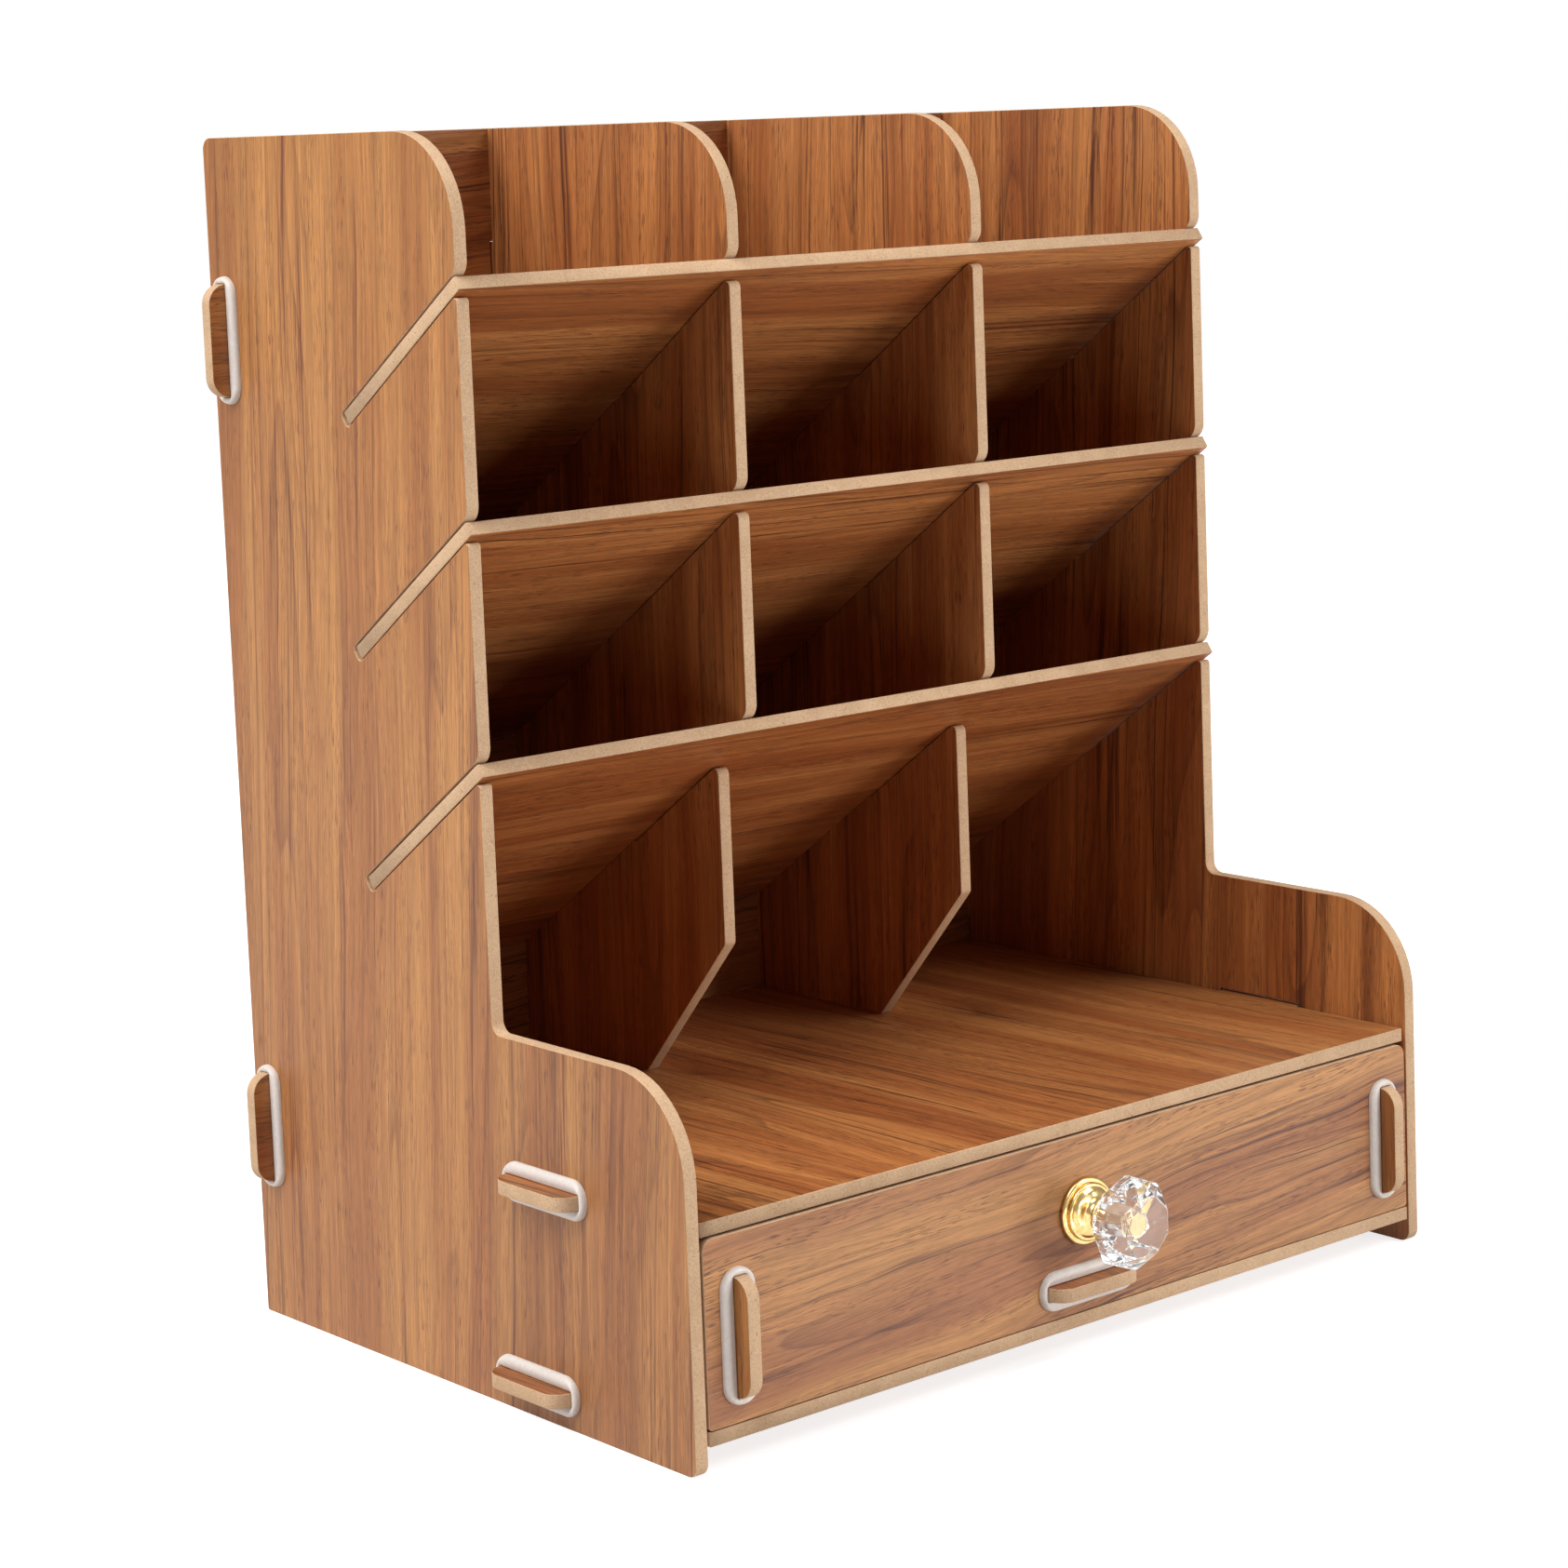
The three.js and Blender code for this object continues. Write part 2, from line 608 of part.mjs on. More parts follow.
function addCaseGrommets() {
  const sides = [
    ["left", left, -halfWidth],
    ["right", right, halfWidth],
  ];
  for (const [side, outward, x] of sides) {
    addGrommet(`${side}_side_upper_grommet`, up, outward, [x, -backMiddle, backTabHeights[0]]);
    addGrommet(`${side}_side_lower_grommet`, up, outward, [x, -backMiddle, backTabHeights[1]]);
    addGrommet(`${side}_side_tray_grommet`, front, outward, [x, -bayTopTabDepth, trayMiddle]);
    addGrommet(`${side}_side_base_grommet`, front, outward, [x, -baseTabDepth, baseMiddle]);
  }
  dividerNames.forEach((name, i) => {
    addGrommet(`${name}_upper_grommet`, up, back, [dividerMiddles[i], -backInset, dividerTabHeights[0]]);
    addGrommet(`${name}_lower_grommet`, up, back, [dividerMiddles[i], -backInset, dividerTabHeights[1]]);
  });
  addGrommet("back_panel_tray_grommet", right, back, [0, -backInset, trayMiddle]);
  addGrommet("back_panel_base_grommet", right, back, [0, -backInset, baseMiddle]);
}

function addDrawerGrommets() {
  const ends = [
    ["drawer_front", front, -caseDepth],
    ["drawer_back", back, -drawerRear],
  ];
  const sides = [
    ["left", left, -1],
    ["right", right, 1],
  ];
  for (const [side, outward, sign] of sides) {
    for (const [end, ahead, y] of ends) {
      addGrommet(`${end}_${side}_grommet`, up, ahead, [sign * drawerSideMiddle, y, drawerSideTabHeight]);
    }
    const face = sign * drawerSideFace;
    addGrommet(`drawer_${side}_side_grommet`, front, outward, [face, -floorTabDepth, drawerFloorMiddle]);
  }
  for (const [end, ahead, y] of ends) {
    addGrommet(`${end}_bottom_grommet`, right, ahead, [0, y, drawerFloorMiddle]);
  }
}

addSidePanels();
addBackPanel();
addLevelBoard("base_panel", baseTop, caseDepth, baseTabDepth);
addLevelBoard("bay_top_panel", trayHeight, caseDepth - bayTopSetback, bayTopTabDepth);
addShelves();
addDividers();
addCaseGrommets();
addDrawerFront();
addDrawerBack();
addDrawerSides();
addDrawerBottom();
addDrawerGrommets();
addKnobBase();
addKnobCrystal();
addKnobScrew();

export default penHolder;
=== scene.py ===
# %% [markdown]
# # Pen holder with a drawer
#
# This notebook dresses a desk organizer: thin boards with a printed wood film and raw fibreboard
# edges, joined by tabs in white plastic rings, and a small drawer with a gold and crystal knob.
# The measured model is loaded first. It fixes where every piece goes and how the drawer slides.

# %% Load the measured model
import json

import bmesh
import bpy
import numpy as np
from mathutils import Matrix, Vector
from mathutils.geometry import tessellate_polygon


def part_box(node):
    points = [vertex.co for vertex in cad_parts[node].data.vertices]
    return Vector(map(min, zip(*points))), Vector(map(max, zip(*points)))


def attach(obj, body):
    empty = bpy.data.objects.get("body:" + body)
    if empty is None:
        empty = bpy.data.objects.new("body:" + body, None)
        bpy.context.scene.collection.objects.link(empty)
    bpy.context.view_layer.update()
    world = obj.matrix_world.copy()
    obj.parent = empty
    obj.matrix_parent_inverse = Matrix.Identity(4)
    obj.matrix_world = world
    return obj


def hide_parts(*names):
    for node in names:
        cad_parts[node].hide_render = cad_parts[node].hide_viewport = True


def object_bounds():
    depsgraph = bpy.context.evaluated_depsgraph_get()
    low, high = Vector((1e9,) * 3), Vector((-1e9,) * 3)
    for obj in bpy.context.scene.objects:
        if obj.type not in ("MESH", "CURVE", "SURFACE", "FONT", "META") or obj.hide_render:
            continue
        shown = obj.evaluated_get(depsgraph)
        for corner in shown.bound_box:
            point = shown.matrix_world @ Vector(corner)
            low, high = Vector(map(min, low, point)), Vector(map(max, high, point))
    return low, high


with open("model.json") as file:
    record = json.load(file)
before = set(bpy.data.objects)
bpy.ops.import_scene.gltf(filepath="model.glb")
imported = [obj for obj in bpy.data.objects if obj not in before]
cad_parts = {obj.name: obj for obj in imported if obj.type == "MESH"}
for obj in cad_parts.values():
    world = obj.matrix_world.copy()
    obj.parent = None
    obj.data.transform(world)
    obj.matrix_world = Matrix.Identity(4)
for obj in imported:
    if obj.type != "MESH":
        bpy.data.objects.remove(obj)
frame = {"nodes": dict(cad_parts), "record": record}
measured_box = [list(corner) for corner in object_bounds()]
body_of_node = {node: body for body, nodes in frame["record"]["behaviour"]["bodies"].items() for node in nodes}
print(len(frame["nodes"]), "measured pieces in a box", measured_box)

# %% [markdown]
# ## The camera
#
# The camera stands in front of the left side, a little above the middle of the object, with a long
# lens, so that upright edges stay nearly parallel. Its direction is two turns, one about the
# upright axis and one up from level, and a small roll. The lens is shifted instead of tilted more,
# as a photographer does with a view camera.

# %% Set up the camera
CAMERA_PLACE = Vector((-0.613871, -0.712527, 0.29823))
AZIMUTH, ELEVATION, ROLL = np.radians([-40.593, 7.064, -2.076])
FOCAL_PIXELS, PICTURE_PIXELS = 4026.0, 1685
AXIS_PIXELS = (905.0, 630.7)

level_share = np.cos(ELEVATION)
backward = Vector((np.sin(AZIMUTH) * level_share, -np.cos(AZIMUTH) * level_share, np.sin(ELEVATION)))
level = (-backward).cross(Vector((0, 0, 1))).normalized()
upward = level.cross(-backward)
rolled_right = np.cos(ROLL) * level + np.sin(ROLL) * upward
rolled_up = np.cos(ROLL) * upward - np.sin(ROLL) * level

camera_data = bpy.data.cameras.new("camera")
camera_data.sensor_width = 36
camera_data.lens = FOCAL_PIXELS * camera_data.sensor_width / PICTURE_PIXELS
camera_data.shift_x = (PICTURE_PIXELS / 2 - AXIS_PIXELS[0]) / PICTURE_PIXELS
camera_data.shift_y = (AXIS_PIXELS[1] - PICTURE_PIXELS / 2) / PICTURE_PIXELS
camera_data.clip_start = 0.01
camera = bpy.data.objects.new("camera", camera_data)
bpy.context.scene.collection.objects.link(camera)
turn = Matrix((rolled_right, rolled_up, backward)).transposed().to_4x4()
camera.matrix_world = Matrix.Translation(CAMERA_PLACE) @ turn
bpy.context.scene.camera = camera
print("lens", round(camera_data.lens, 1), "mm")

# %% [markdown]
# ## Sizes
#
# Everything below is written in millimetres, as a joiner would measure it, and turned into metres
# when a mesh is made. Depths are counted forward from the back edges of the side panels, because
# every board of the case is set out from there.

# %% Sizes of the boards
MM = 0.001
BOARD = 3.5
CASE_WIDTH, CASE_HEIGHT, CASE_DEPTH = 244.0, 300.0, 177.0
UPPER_DEPTH, LEDGE_HEIGHT = 106.3, 90.0
ARCH, CORNER, HEEL, DRAWER_FOOT = 23.0, 3.0, 0.8, 1.0
SEAT_GAP, LEVEL_END_GAP = 0.1, 0.8
BASE_TOP, TRAY_TOP, TRAY_SETBACK = 9.9, 57.8, 0.7
BACK_INSET = 5.3
BACK_FACE = BACK_INSET + BOARD
HALF_WIDTH = CASE_WIDTH / 2
INNER_HALF = HALF_WIDTH - BOARD
CASE_BACK = measured_box[1][1] / MM

SLANT = np.radians(34.3)
SHELF_FRONTS = {"upper_shelf": 266.6, "middle_shelf": 210.2, "lower_shelf": 153.8}
SHELF_SETBACK, SHELF_BACK_GAP = 0.8, 0.5
SHELF_DEPTH, LAP_DEPTH = UPPER_DEPTH - SHELF_SETBACK, 58.1
PLAY_BELOW, PLAY_ABOVE, END_PLAY, LAP_PLAY = 0.3, 0.6, 1.5, 0.3
SLOT_ROUNDING, SLOT_LIP, SIDE_NOSE, DIVIDER_NOSE = 1.4, 4.5, 1.0, 1.6
DIVIDER_MIDDLES = {"left_divider": -40.0833, "right_divider": 40.0833}
DIVIDER_STEP, TOE_SETBACK, KNEE_HEIGHT, KNEE = 12.0, 34.0, 37.9, 2.0

TAB_LENGTH, TAB_REACH, TAB_RADIUS, REAR_REACH = 28.1, 6.0, 5.0, 4.6
TAB_PLAY, OPENING_RADIUS = 0.15, 0.4
OPENING_LONG, OPENING_SHORT = TAB_LENGTH / 2 + TAB_PLAY, BOARD / 2 + TAB_PLAY
SLEEVE, SLEEVE_PLAY, SLEEVE_SETBACK = 0.4, 0.1, 1.0
BACK_TABS, DIVIDER_TABS = [250.0, 50.0], [256.5, 110.0]
TRAY_TAB_DEPTH, BASE_TAB_DEPTH = 124.9, 118.7

DRAWER_LOW, DRAWER_HALF, DRAWER_FRONT_HEIGHT, DRAWER_WALL = 10.05, 117.8, 43.75, 40.25
DRAWER_REAR, DRAWER_INNER_FRONT = 15.6, CASE_DEPTH - BOARD
DRAWER_SIDE_FACE = 110.3
DRAWER_TAB_HEIGHT = DRAWER_LOW + DRAWER_WALL / 2
FLOOR_LIFT, SIDE_TAB_INSET, KNOB_LIFT = 5.5, 11.0, 24.9
DRAWER_FLOOR = DRAWER_LOW + FLOOR_LIFT + BOARD / 2
FLOOR_TAB_DEPTH = (DRAWER_INNER_FRONT + DRAWER_REAR + BOARD) / 2 - SIDE_TAB_INSET
KNOB_HEIGHT = DRAWER_LOW + KNOB_LIFT
SCREW_HOLE = 1.8
print("case back at y =", round(CASE_BACK, 2), "mm, knob at z =", KNOB_HEIGHT, "mm")

# %% [markdown]
# ## Outlines with rounded corners
#
# A board is a flat shape, so it starts as a list of corners, each with its own rounding radius.
# Each corner is replaced by a short arc that touches both of its sides. All arcs are worked out
# together as one array, and a sharp corner is simply an arc of radius zero.

# %% Round the corners of an outline
ARC_STEPS, WELD = 14, 1e-4


def rounded(corners):
    """Points of an outline whose corners (a, b, radius) are rounded.

    The arc's centre lies on the line that halves the corner, at radius / sin(half angle) from it.
    The arc starts radius / tan(half angle) back along the side before, and turns through
    180 degrees less the whole angle."""
    corners = np.asarray(corners, float)
    here, radius = corners[:, :2], corners[:, 2]
    before = np.roll(here, 1, axis=0) - here
    after = np.roll(here, -1, axis=0) - here
    before /= np.linalg.norm(before, axis=1)[:, None]
    after /= np.linalg.norm(after, axis=1)[:, None]
    half = np.arccos(np.clip((before * after).sum(1), -1, 1)) / 2
    middle = before + after
    middle /= np.linalg.norm(middle, axis=1)[:, None]
    centre = here + middle * (radius / np.sin(half))[:, None]
    start = here + before * (radius / np.tan(half))[:, None] - centre
    side = np.sign(before[:, 0] * after[:, 1] - before[:, 1] * after[:, 0])
    angle = -side[:, None] * (np.pi - 2 * half)[:, None] * np.linspace(0, 1, ARC_STEPS)
    cos, sin = np.cos(angle), np.sin(angle)
    x = centre[:, :1] + start[:, :1] * cos - start[:, 1:] * sin
    y = centre[:, 1:] + start[:, :1] * sin + start[:, 1:] * cos
    points = np.stack([x, y], axis=2).reshape(-1, 2)
    apart = np.linalg.norm(points - np.roll(points, 1, axis=0), axis=1) > WELD
    return points[apart]


def rectangle(a0, a1, b0, b1, radius=0.0):
    """The four corners of a rectangle, going round anticlockwise."""
    return [(a0, b0, radius), (a1, b0, radius), (a1, b1, radius), (a0, b1, radius)]


print("an arched corner has", len(rounded(rectangle(0, 50, 0, 50, ARCH))) // 4, "points")

# %% [markdown]
# ## Tabs, slots and shelf slots
#
# The boards hold together by tabs that stand out of their edges and pass through slots in their
# neighbours. The shelves lie in open slots that slope down towards the back. These helpers give
# the corners of such an edge or slot, so each board's outline reads as a short list.


# %% Corners of tabs and slots
def tabbed(start, end, centres, reach):
    """Corners of an edge from start towards end, with a tab standing out on its right at each centre.

    Each tab adds four corners: root, tip, tip, root, with the two tips rounded."""
    start, end = np.asarray(start, float), np.asarray(end, float)
    along = (end - start) / np.linalg.norm(end - start)
    out = np.array([along[1], -along[0]])
    steps = np.sort(centres)[:, None] + np.array([-1, -1, 1, 1]) * TAB_LENGTH / 2
    lifted = np.array([0, 1, 1, 0])
    spots = start + steps[..., None] * along + (lifted * reach)[None, :, None] * out
    radii = np.broadcast_to(lifted * TAB_RADIUS, steps.shape)[..., None]
    return [(*start, 0), *np.concatenate([spots, radii], axis=2).reshape(-1, 3)]


def tabbed_rectangle(a0, a1, b0, b1, low=None, last=None, high=None, first=None):
    """A rectangle whose sides may carry tabs, each side given as (centres, reach)."""
    corners = [(a0, b0, 0)] if low is None else tabbed((a0, b0), (a1, b0), np.array(low[0]) - a0, low[1])
    corners += [(a1, b0, 0)] if last is None else tabbed((a1, b0), (a1, b1), np.array(last[0]) - b0, last[1])
    corners += [(a1, b1, 0)] if high is None else tabbed((a1, b1), (a0, b1), a1 - np.array(high[0]), high[1])
    corners += [(a0, b1, 0)] if first is None else tabbed((a0, b1), (a0, b0), b1 - np.array(first[0]), first[1])
    return corners


def slot(a, b, along):
    """A slot that takes a ring's sleeve, its long side along the outline's a or b axis."""
    wider = SLEEVE + SLEEVE_PLAY
    long, short = OPENING_LONG + wider, OPENING_SHORT + wider
    half_a, half_b = (long, short) if along == "a" else (short, long)
    return rectangle(a - half_a, a + half_a, b - half_b, b + half_b, OPENING_RADIUS + wider)


def near_shelf(front_height, down, over, radius=0.0):
    """Depth and height of a point so far down a shelf's slope and so far over its top face."""
    depth = SHELF_DEPTH - down * np.cos(SLANT) - over * np.sin(SLANT)
    return (depth, front_height - down * np.sin(SLANT) + over * np.cos(SLANT), radius)


def near_shelf_at(front_height, depth, over, radius=0.0):
    """Where a line along the slope, so far over the shelf, crosses a given depth."""
    return near_shelf(front_height, (SHELF_DEPTH - depth - over * np.sin(SLANT)) / np.cos(SLANT), over, radius)


def shelf_slot(front_height, depth_below, depth_above, nose):
    """The open slot that holds a shelf, seen from the side."""
    end, lower = LAP_DEPTH + END_PLAY, -BOARD - PLAY_BELOW
    return [
        near_shelf_at(front_height, depth_below, lower, nose),
        near_shelf(front_height, end, lower, SLOT_ROUNDING),
        near_shelf(front_height, end, PLAY_ABOVE, SLOT_ROUNDING),
        near_shelf_at(front_height, depth_above, PLAY_ABOVE, SLOT_LIP),
    ]


print("slot length", round(2 * (OPENING_LONG + SLEEVE + SLEEVE_PLAY), 2), "mm")

# %% [markdown]
# ## From an outline to a board
#
# A pressed board has a slightly softened rim. The rim is a small profile, a quarter round, a
# straight wall and another quarter round, carried along the outline. The profile moves each
# outline point inwards along its own normal, so one array operation makes the whole rim. The two
# faces are then filled with triangles between the outer rim and the rims of the slots.
#
# Each board also carries two attributes for its finish: `grain`, the place on the board counted
# along the grain, across it and through the board, and `rim`, how far a point lies past the face.

# %% Build a board mesh
ROUNDING = 0.25
quarter = np.linspace(0, np.pi / 2, 5)
RIM_INSET = np.concatenate([ROUNDING * (1 - np.sin(quarter)), ROUNDING * (1 - np.cos(quarter))])
RIM_HEIGHT = np.concatenate([ROUNDING * (1 - np.cos(quarter)), BOARD - ROUNDING * (1 - np.sin(quarter))])
RIM_TRAVEL = quarter * ROUNDING
RIM_DISTANCE = np.concatenate([RIM_TRAVEL, RIM_TRAVEL[::-1]])


def signed_area(points):
    """Half the sum of the cross products of neighbouring points: positive when anticlockwise."""
    following = np.roll(points, -1, axis=0)
    return (points[:, 0] * following[:, 1] - points[:, 1] * following[:, 0]).sum() / 2


def rim_points(outline):
    """The rim as a grid of points, one row for each step of the profile.

    A point's normal halves the angle between its two sides, and is lengthened by one over the
    cosine of half their turn, so that both sides move in by the same distance."""
    ahead = np.roll(outline, -1, axis=0) - outline
    ahead /= np.linalg.norm(ahead, axis=1)[:, None]
    normal_ahead = np.stack([ahead[:, 1], -ahead[:, 0]], axis=1)
    normal_behind = np.roll(normal_ahead, 1, axis=0)
    normal = normal_ahead + normal_behind
    normal /= np.linalg.norm(normal, axis=1)[:, None]
    normal /= np.maximum((normal * normal_ahead).sum(1), 0.5)[:, None]
    flat = outline[None] - RIM_INSET[:, None, None] * normal[None]
    height = np.broadcast_to(RIM_HEIGHT[:, None, None], (len(RIM_HEIGHT), len(outline), 1))
    return np.concatenate([flat, height], axis=2)


def rim_faces(count, first):
    """Four-sided faces between neighbouring rows and neighbouring points of a rim."""
    row = np.arange(len(RIM_INSET) - 1)[:, None] * count + first
    here = np.arange(count)[None]
    after = (here + 1) % count
    return np.stack([row + here, row + after, row + count + after, row + count + here], axis=2).reshape(-1, 4)


def face_triangles(rims, starts):
    """Triangles that fill the face between the outer rim's first row and those of the slots."""
    loops = [[Vector((*point, 0)) for point in rim[0, :, :2]] for rim in rims]
    triangles = np.array(tessellate_polygon(loops))
    flat = np.concatenate([rim[0, :, :2] for rim in rims])
    numbers = np.concatenate([start + np.arange(rim.shape[1]) for rim, start in zip(rims, starts)])
    a, b, c = (flat[triangles[:, k]] for k in range(3))
    area = (b[:, 0] - a[:, 0]) * (c[:, 1] - a[:, 1]) - (b[:, 1] - a[:, 1]) * (c[:, 0] - a[:, 0])
    triangles = np.where(area[:, None] > 0, triangles[:, ::-1], triangles)
    return numbers[triangles]


def mesh_from(name, points, quads, triangles):
    """A mesh from points in metres, smooth four-sided faces and flat triangles."""
    mesh = bpy.data.meshes.new(name)
    mesh.from_pydata(points, [], [*quads.tolist(), *triangles.tolist()])
    smooth = np.arange(len(mesh.polygons)) < len(quads)
    mesh.polygons.foreach_set("use_smooth", smooth)
    return mesh


def store(mesh, name, kind, values):
    """Keeps one value for each point of a mesh under a name that a material can read."""
    stored = mesh.attributes.new(name, kind, "POINT")
    field = "vector" if kind == "FLOAT_VECTOR" else "value"
    stored.data.foreach_set(field, np.ravel(values).astype(np.float32))


RIGHT, BACK, UP = np.eye(3)
LEFT, FRONT, DOWN = -np.eye(3)
SIDE_ON, FRONT_ON, LEVEL_ON = (FRONT, UP, LEFT), (RIGHT, UP, FRONT), (RIGHT, FRONT, DOWN)
GRAIN_SHIFT = np.array([731.0, 97.0, 13.0])


def board(outline, slots, axes, place, grain_along, lean, seed):
    """Local points, faces and attributes of a board, placed in the object's own frame.

    A local point (a, b, c) lies at place + a * first axis + b * second axis + c * third axis.
    The grain runs along one of the first two, turned by a small lean in degrees, and the seed
    shifts it far enough that no two boards show the same stretch of film."""
    loops = [rounded(outline), *(rounded(one) for one in slots)]
    loops = [loop if (signed_area(loop) > 0) == (k == 0) else loop[::-1] for k, loop in enumerate(loops)]
    rims = [rim_points(loop) for loop in loops]
    starts = np.cumsum([0, *(rim.shape[0] * rim.shape[1] for rim in rims)])[:-1]
    local = np.concatenate([rim.reshape(-1, 3) for rim in rims])
    quads = np.concatenate([rim_faces(rim.shape[1], start) for rim, start in zip(rims, starts)])
    near = face_triangles(rims, starts)
    row_length = np.concatenate([np.full(rim.shape[0] * rim.shape[1], rim.shape[1]) for rim in rims])
    far = (near + row_length[near] * (len(RIM_INSET) - 1))[:, ::-1]
    world = np.asarray(place) + local @ np.array(axes)
    world[:, 1] += CASE_BACK
    order = [0, 1, 2] if grain_along == "a" else [1, 0, 2]
    cos, sin = np.cos(np.radians(lean)), np.sin(np.radians(lean))
    turned_grain = local[:, order] @ np.array([[cos, -sin, 0], [sin, cos, 0], [0, 0, 1]])
    grain = turned_grain + seed * GRAIN_SHIFT
    rim = np.concatenate([np.repeat(RIM_DISTANCE, loop.shape[1]) for loop in rims])
    return world * MM, quads, np.concatenate([near, far]), grain, rim


print("rim profile has", len(RIM_INSET), "steps")

# %% [markdown]
# ## Finishes: a kit for wiring nodes
#
# A material is a small network of nodes. The helper below adds a node, sets its values and links
# other nodes into it in one line, which keeps each recipe readable.


# %% A helper for wiring nodes
class Wiring:
    """Adds nodes to a material or a node group and links them."""

    def __init__(self, tree):
        self.tree = tree

    def link(self, value, socket):
        self.tree.links.new(value, socket)

    def node(self, kind, inputs=None, **settings):
        made = self.tree.nodes.new(kind)
        for name, value in settings.items():
            setattr(made, name, value)
        for name, value in (inputs or {}).items():
            if isinstance(value, bpy.types.NodeSocket):
                self.link(value, made.inputs[name])
            else:
                made.inputs[name].default_value = value
        return made

    def place(self):
        return self.node("ShaderNodeTexCoord").outputs["Object"]

    def math(self, operation, *values):
        inputs = dict(enumerate(values))
        return self.node("ShaderNodeMath", inputs, operation=operation).outputs[0]

    def join(self, x, y, z):
        return self.node("ShaderNodeCombineXYZ", {"X": x, "Y": y, "Z": z}).outputs[0]

    def noise(self, vector, detail=2.0, roughness=0.5, scale=1.0):
        inputs = {"Vector": vector, "Scale": scale, "Detail": detail, "Roughness": roughness}
        return self.node("ShaderNodeTexNoise", inputs).outputs["Fac"]

    def steps(self, value, low, high, to_low=0.0, to_high=1.0):
        inputs = {"Value": value, "From Min": low, "From Max": high, "To Min": to_low, "To Max": to_high}
        return self.node("ShaderNodeMapRange", inputs, interpolation_type="SMOOTHSTEP").outputs[0]

    def blend(self, factor, first, second, mode="MIX"):
        """Between two colours, which are a Mix node's inputs 6 and 7 and its output 2."""
        inputs = {0: factor, 6: first, 7: second}
        return self.node("ShaderNodeMix", inputs, data_type="RGBA", blend_type=mode).outputs[2]

    def between(self, factor, first, second):
        """Between two numbers, which are a Mix node's inputs 2 and 3 and its output 0."""
        inputs = {0: factor, 2: first, 3: second}
        return self.node("ShaderNodeMix", inputs, data_type="FLOAT").outputs[0]


def new_group(name, inputs, outputs):
    """A node group with named sockets, and its wiring and end nodes."""
    group = bpy.data.node_groups.new(name, "ShaderNodeTree")
    for socket, kind, value in inputs:
        made = group.interface.new_socket(socket, in_out="INPUT", socket_type=kind)
        if value is not None:
            made.default_value = value
    for socket, kind in outputs:
        group.interface.new_socket(socket, in_out="OUTPUT", socket_type=kind)
    wiring = Wiring(group)
    return group, wiring, wiring.node("NodeGroupInput").outputs, wiring.node("NodeGroupOutput").inputs


def screen_colour(red, green, blue):
    """A colour given in 0 to 255 screen steps, as the linear values that nodes work in."""
    share = np.array([red, green, blue]) / 255
    linear = np.where(share <= 0.04045, share / 12.92, ((share + 0.055) / 1.055) ** 2.4)
    return (*linear.tolist(), 1.0)


print("mid wood tone", [round(v, 3) for v in screen_colour(196, 138, 92)])

# %% [markdown]
# ## The printed wood film
#
# The boards are covered with a teak-like printed film: warm bands, darker veins that drift and
# meet like year rings, thin dark lines, fine fibres and short dark pores. Each of these is noise
# that is stretched along the grain. The place across the grain is bent first by slow noise, so that
# every layer on top follows the same gentle waves. The film shows strips of veneer side by side,
# each with a tone and a pattern of its own, so a strip's number shifts all the noise.

# %% Build the wood grain group
COLOUR, VALUE, PLACE = "NodeSocketColor", "NodeSocketFloat", "NodeSocketVector"
grain_group, wire, given, out = new_group(
    "teak_grain",
    [
        ("Grain", PLACE, None),
        ("Light", COLOUR, screen_colour(204, 146, 92)),
        ("Warm", COLOUR, screen_colour(176, 112, 64)),
        ("Vein", COLOUR, screen_colour(118, 66, 36)),
        ("Wave", VALUE, 4.0),
        ("Vein strength", VALUE, 0.6),
    ],
    [("Color", COLOUR), ("Height", VALUE), ("Roughness", VALUE)],
)
STRIP_WIDTH = 97.75
parts = wire.node("ShaderNodeSeparateXYZ", {"Vector": given["Grain"]}).outputs
along, across = parts["X"], parts["Y"]
strip_place = wire.math("DIVIDE", across, STRIP_WIDTH)
strip = wire.math("FLOOR", strip_place)
strip_chance = wire.node("ShaderNodeTexWhiteNoise", {"W": strip}, noise_dimensions="1D").outputs["Value"]
through = wire.math("ADD", wire.math("MULTIPLY", parts["Z"], 0.31), wire.math("MULTIPLY", strip_chance, 60.0))


def stretched(length, width, shift=0.0, middle=None):
    """The grain place divided by a length along the grain and a width across it."""
    side = across if middle is None else middle
    z = wire.math("ADD", through, shift)
    return wire.join(wire.math("DIVIDE", along, length), wire.math("DIVIDE", side, width), z)


slow = wire.math("SUBTRACT", wire.noise(stretched(150, 40), 1.0), 0.5)
quick = wire.math("SUBTRACT", wire.noise(stretched(34, 8, 3.0), 1.0), 0.5)
bend = wire.math("ADD", wire.math("MULTIPLY", slow, 2.4), wire.math("MULTIPLY", quick, 0.28))
bent = wire.math("ADD", across, wire.math("MULTIPLY", bend, given["Wave"]))

bands = wire.steps(wire.noise(stretched(420, 17, 5.0, bent), 4.0, 0.6), 0.38, 0.62)
colour = wire.blend(bands, given["Light"], given["Warm"])

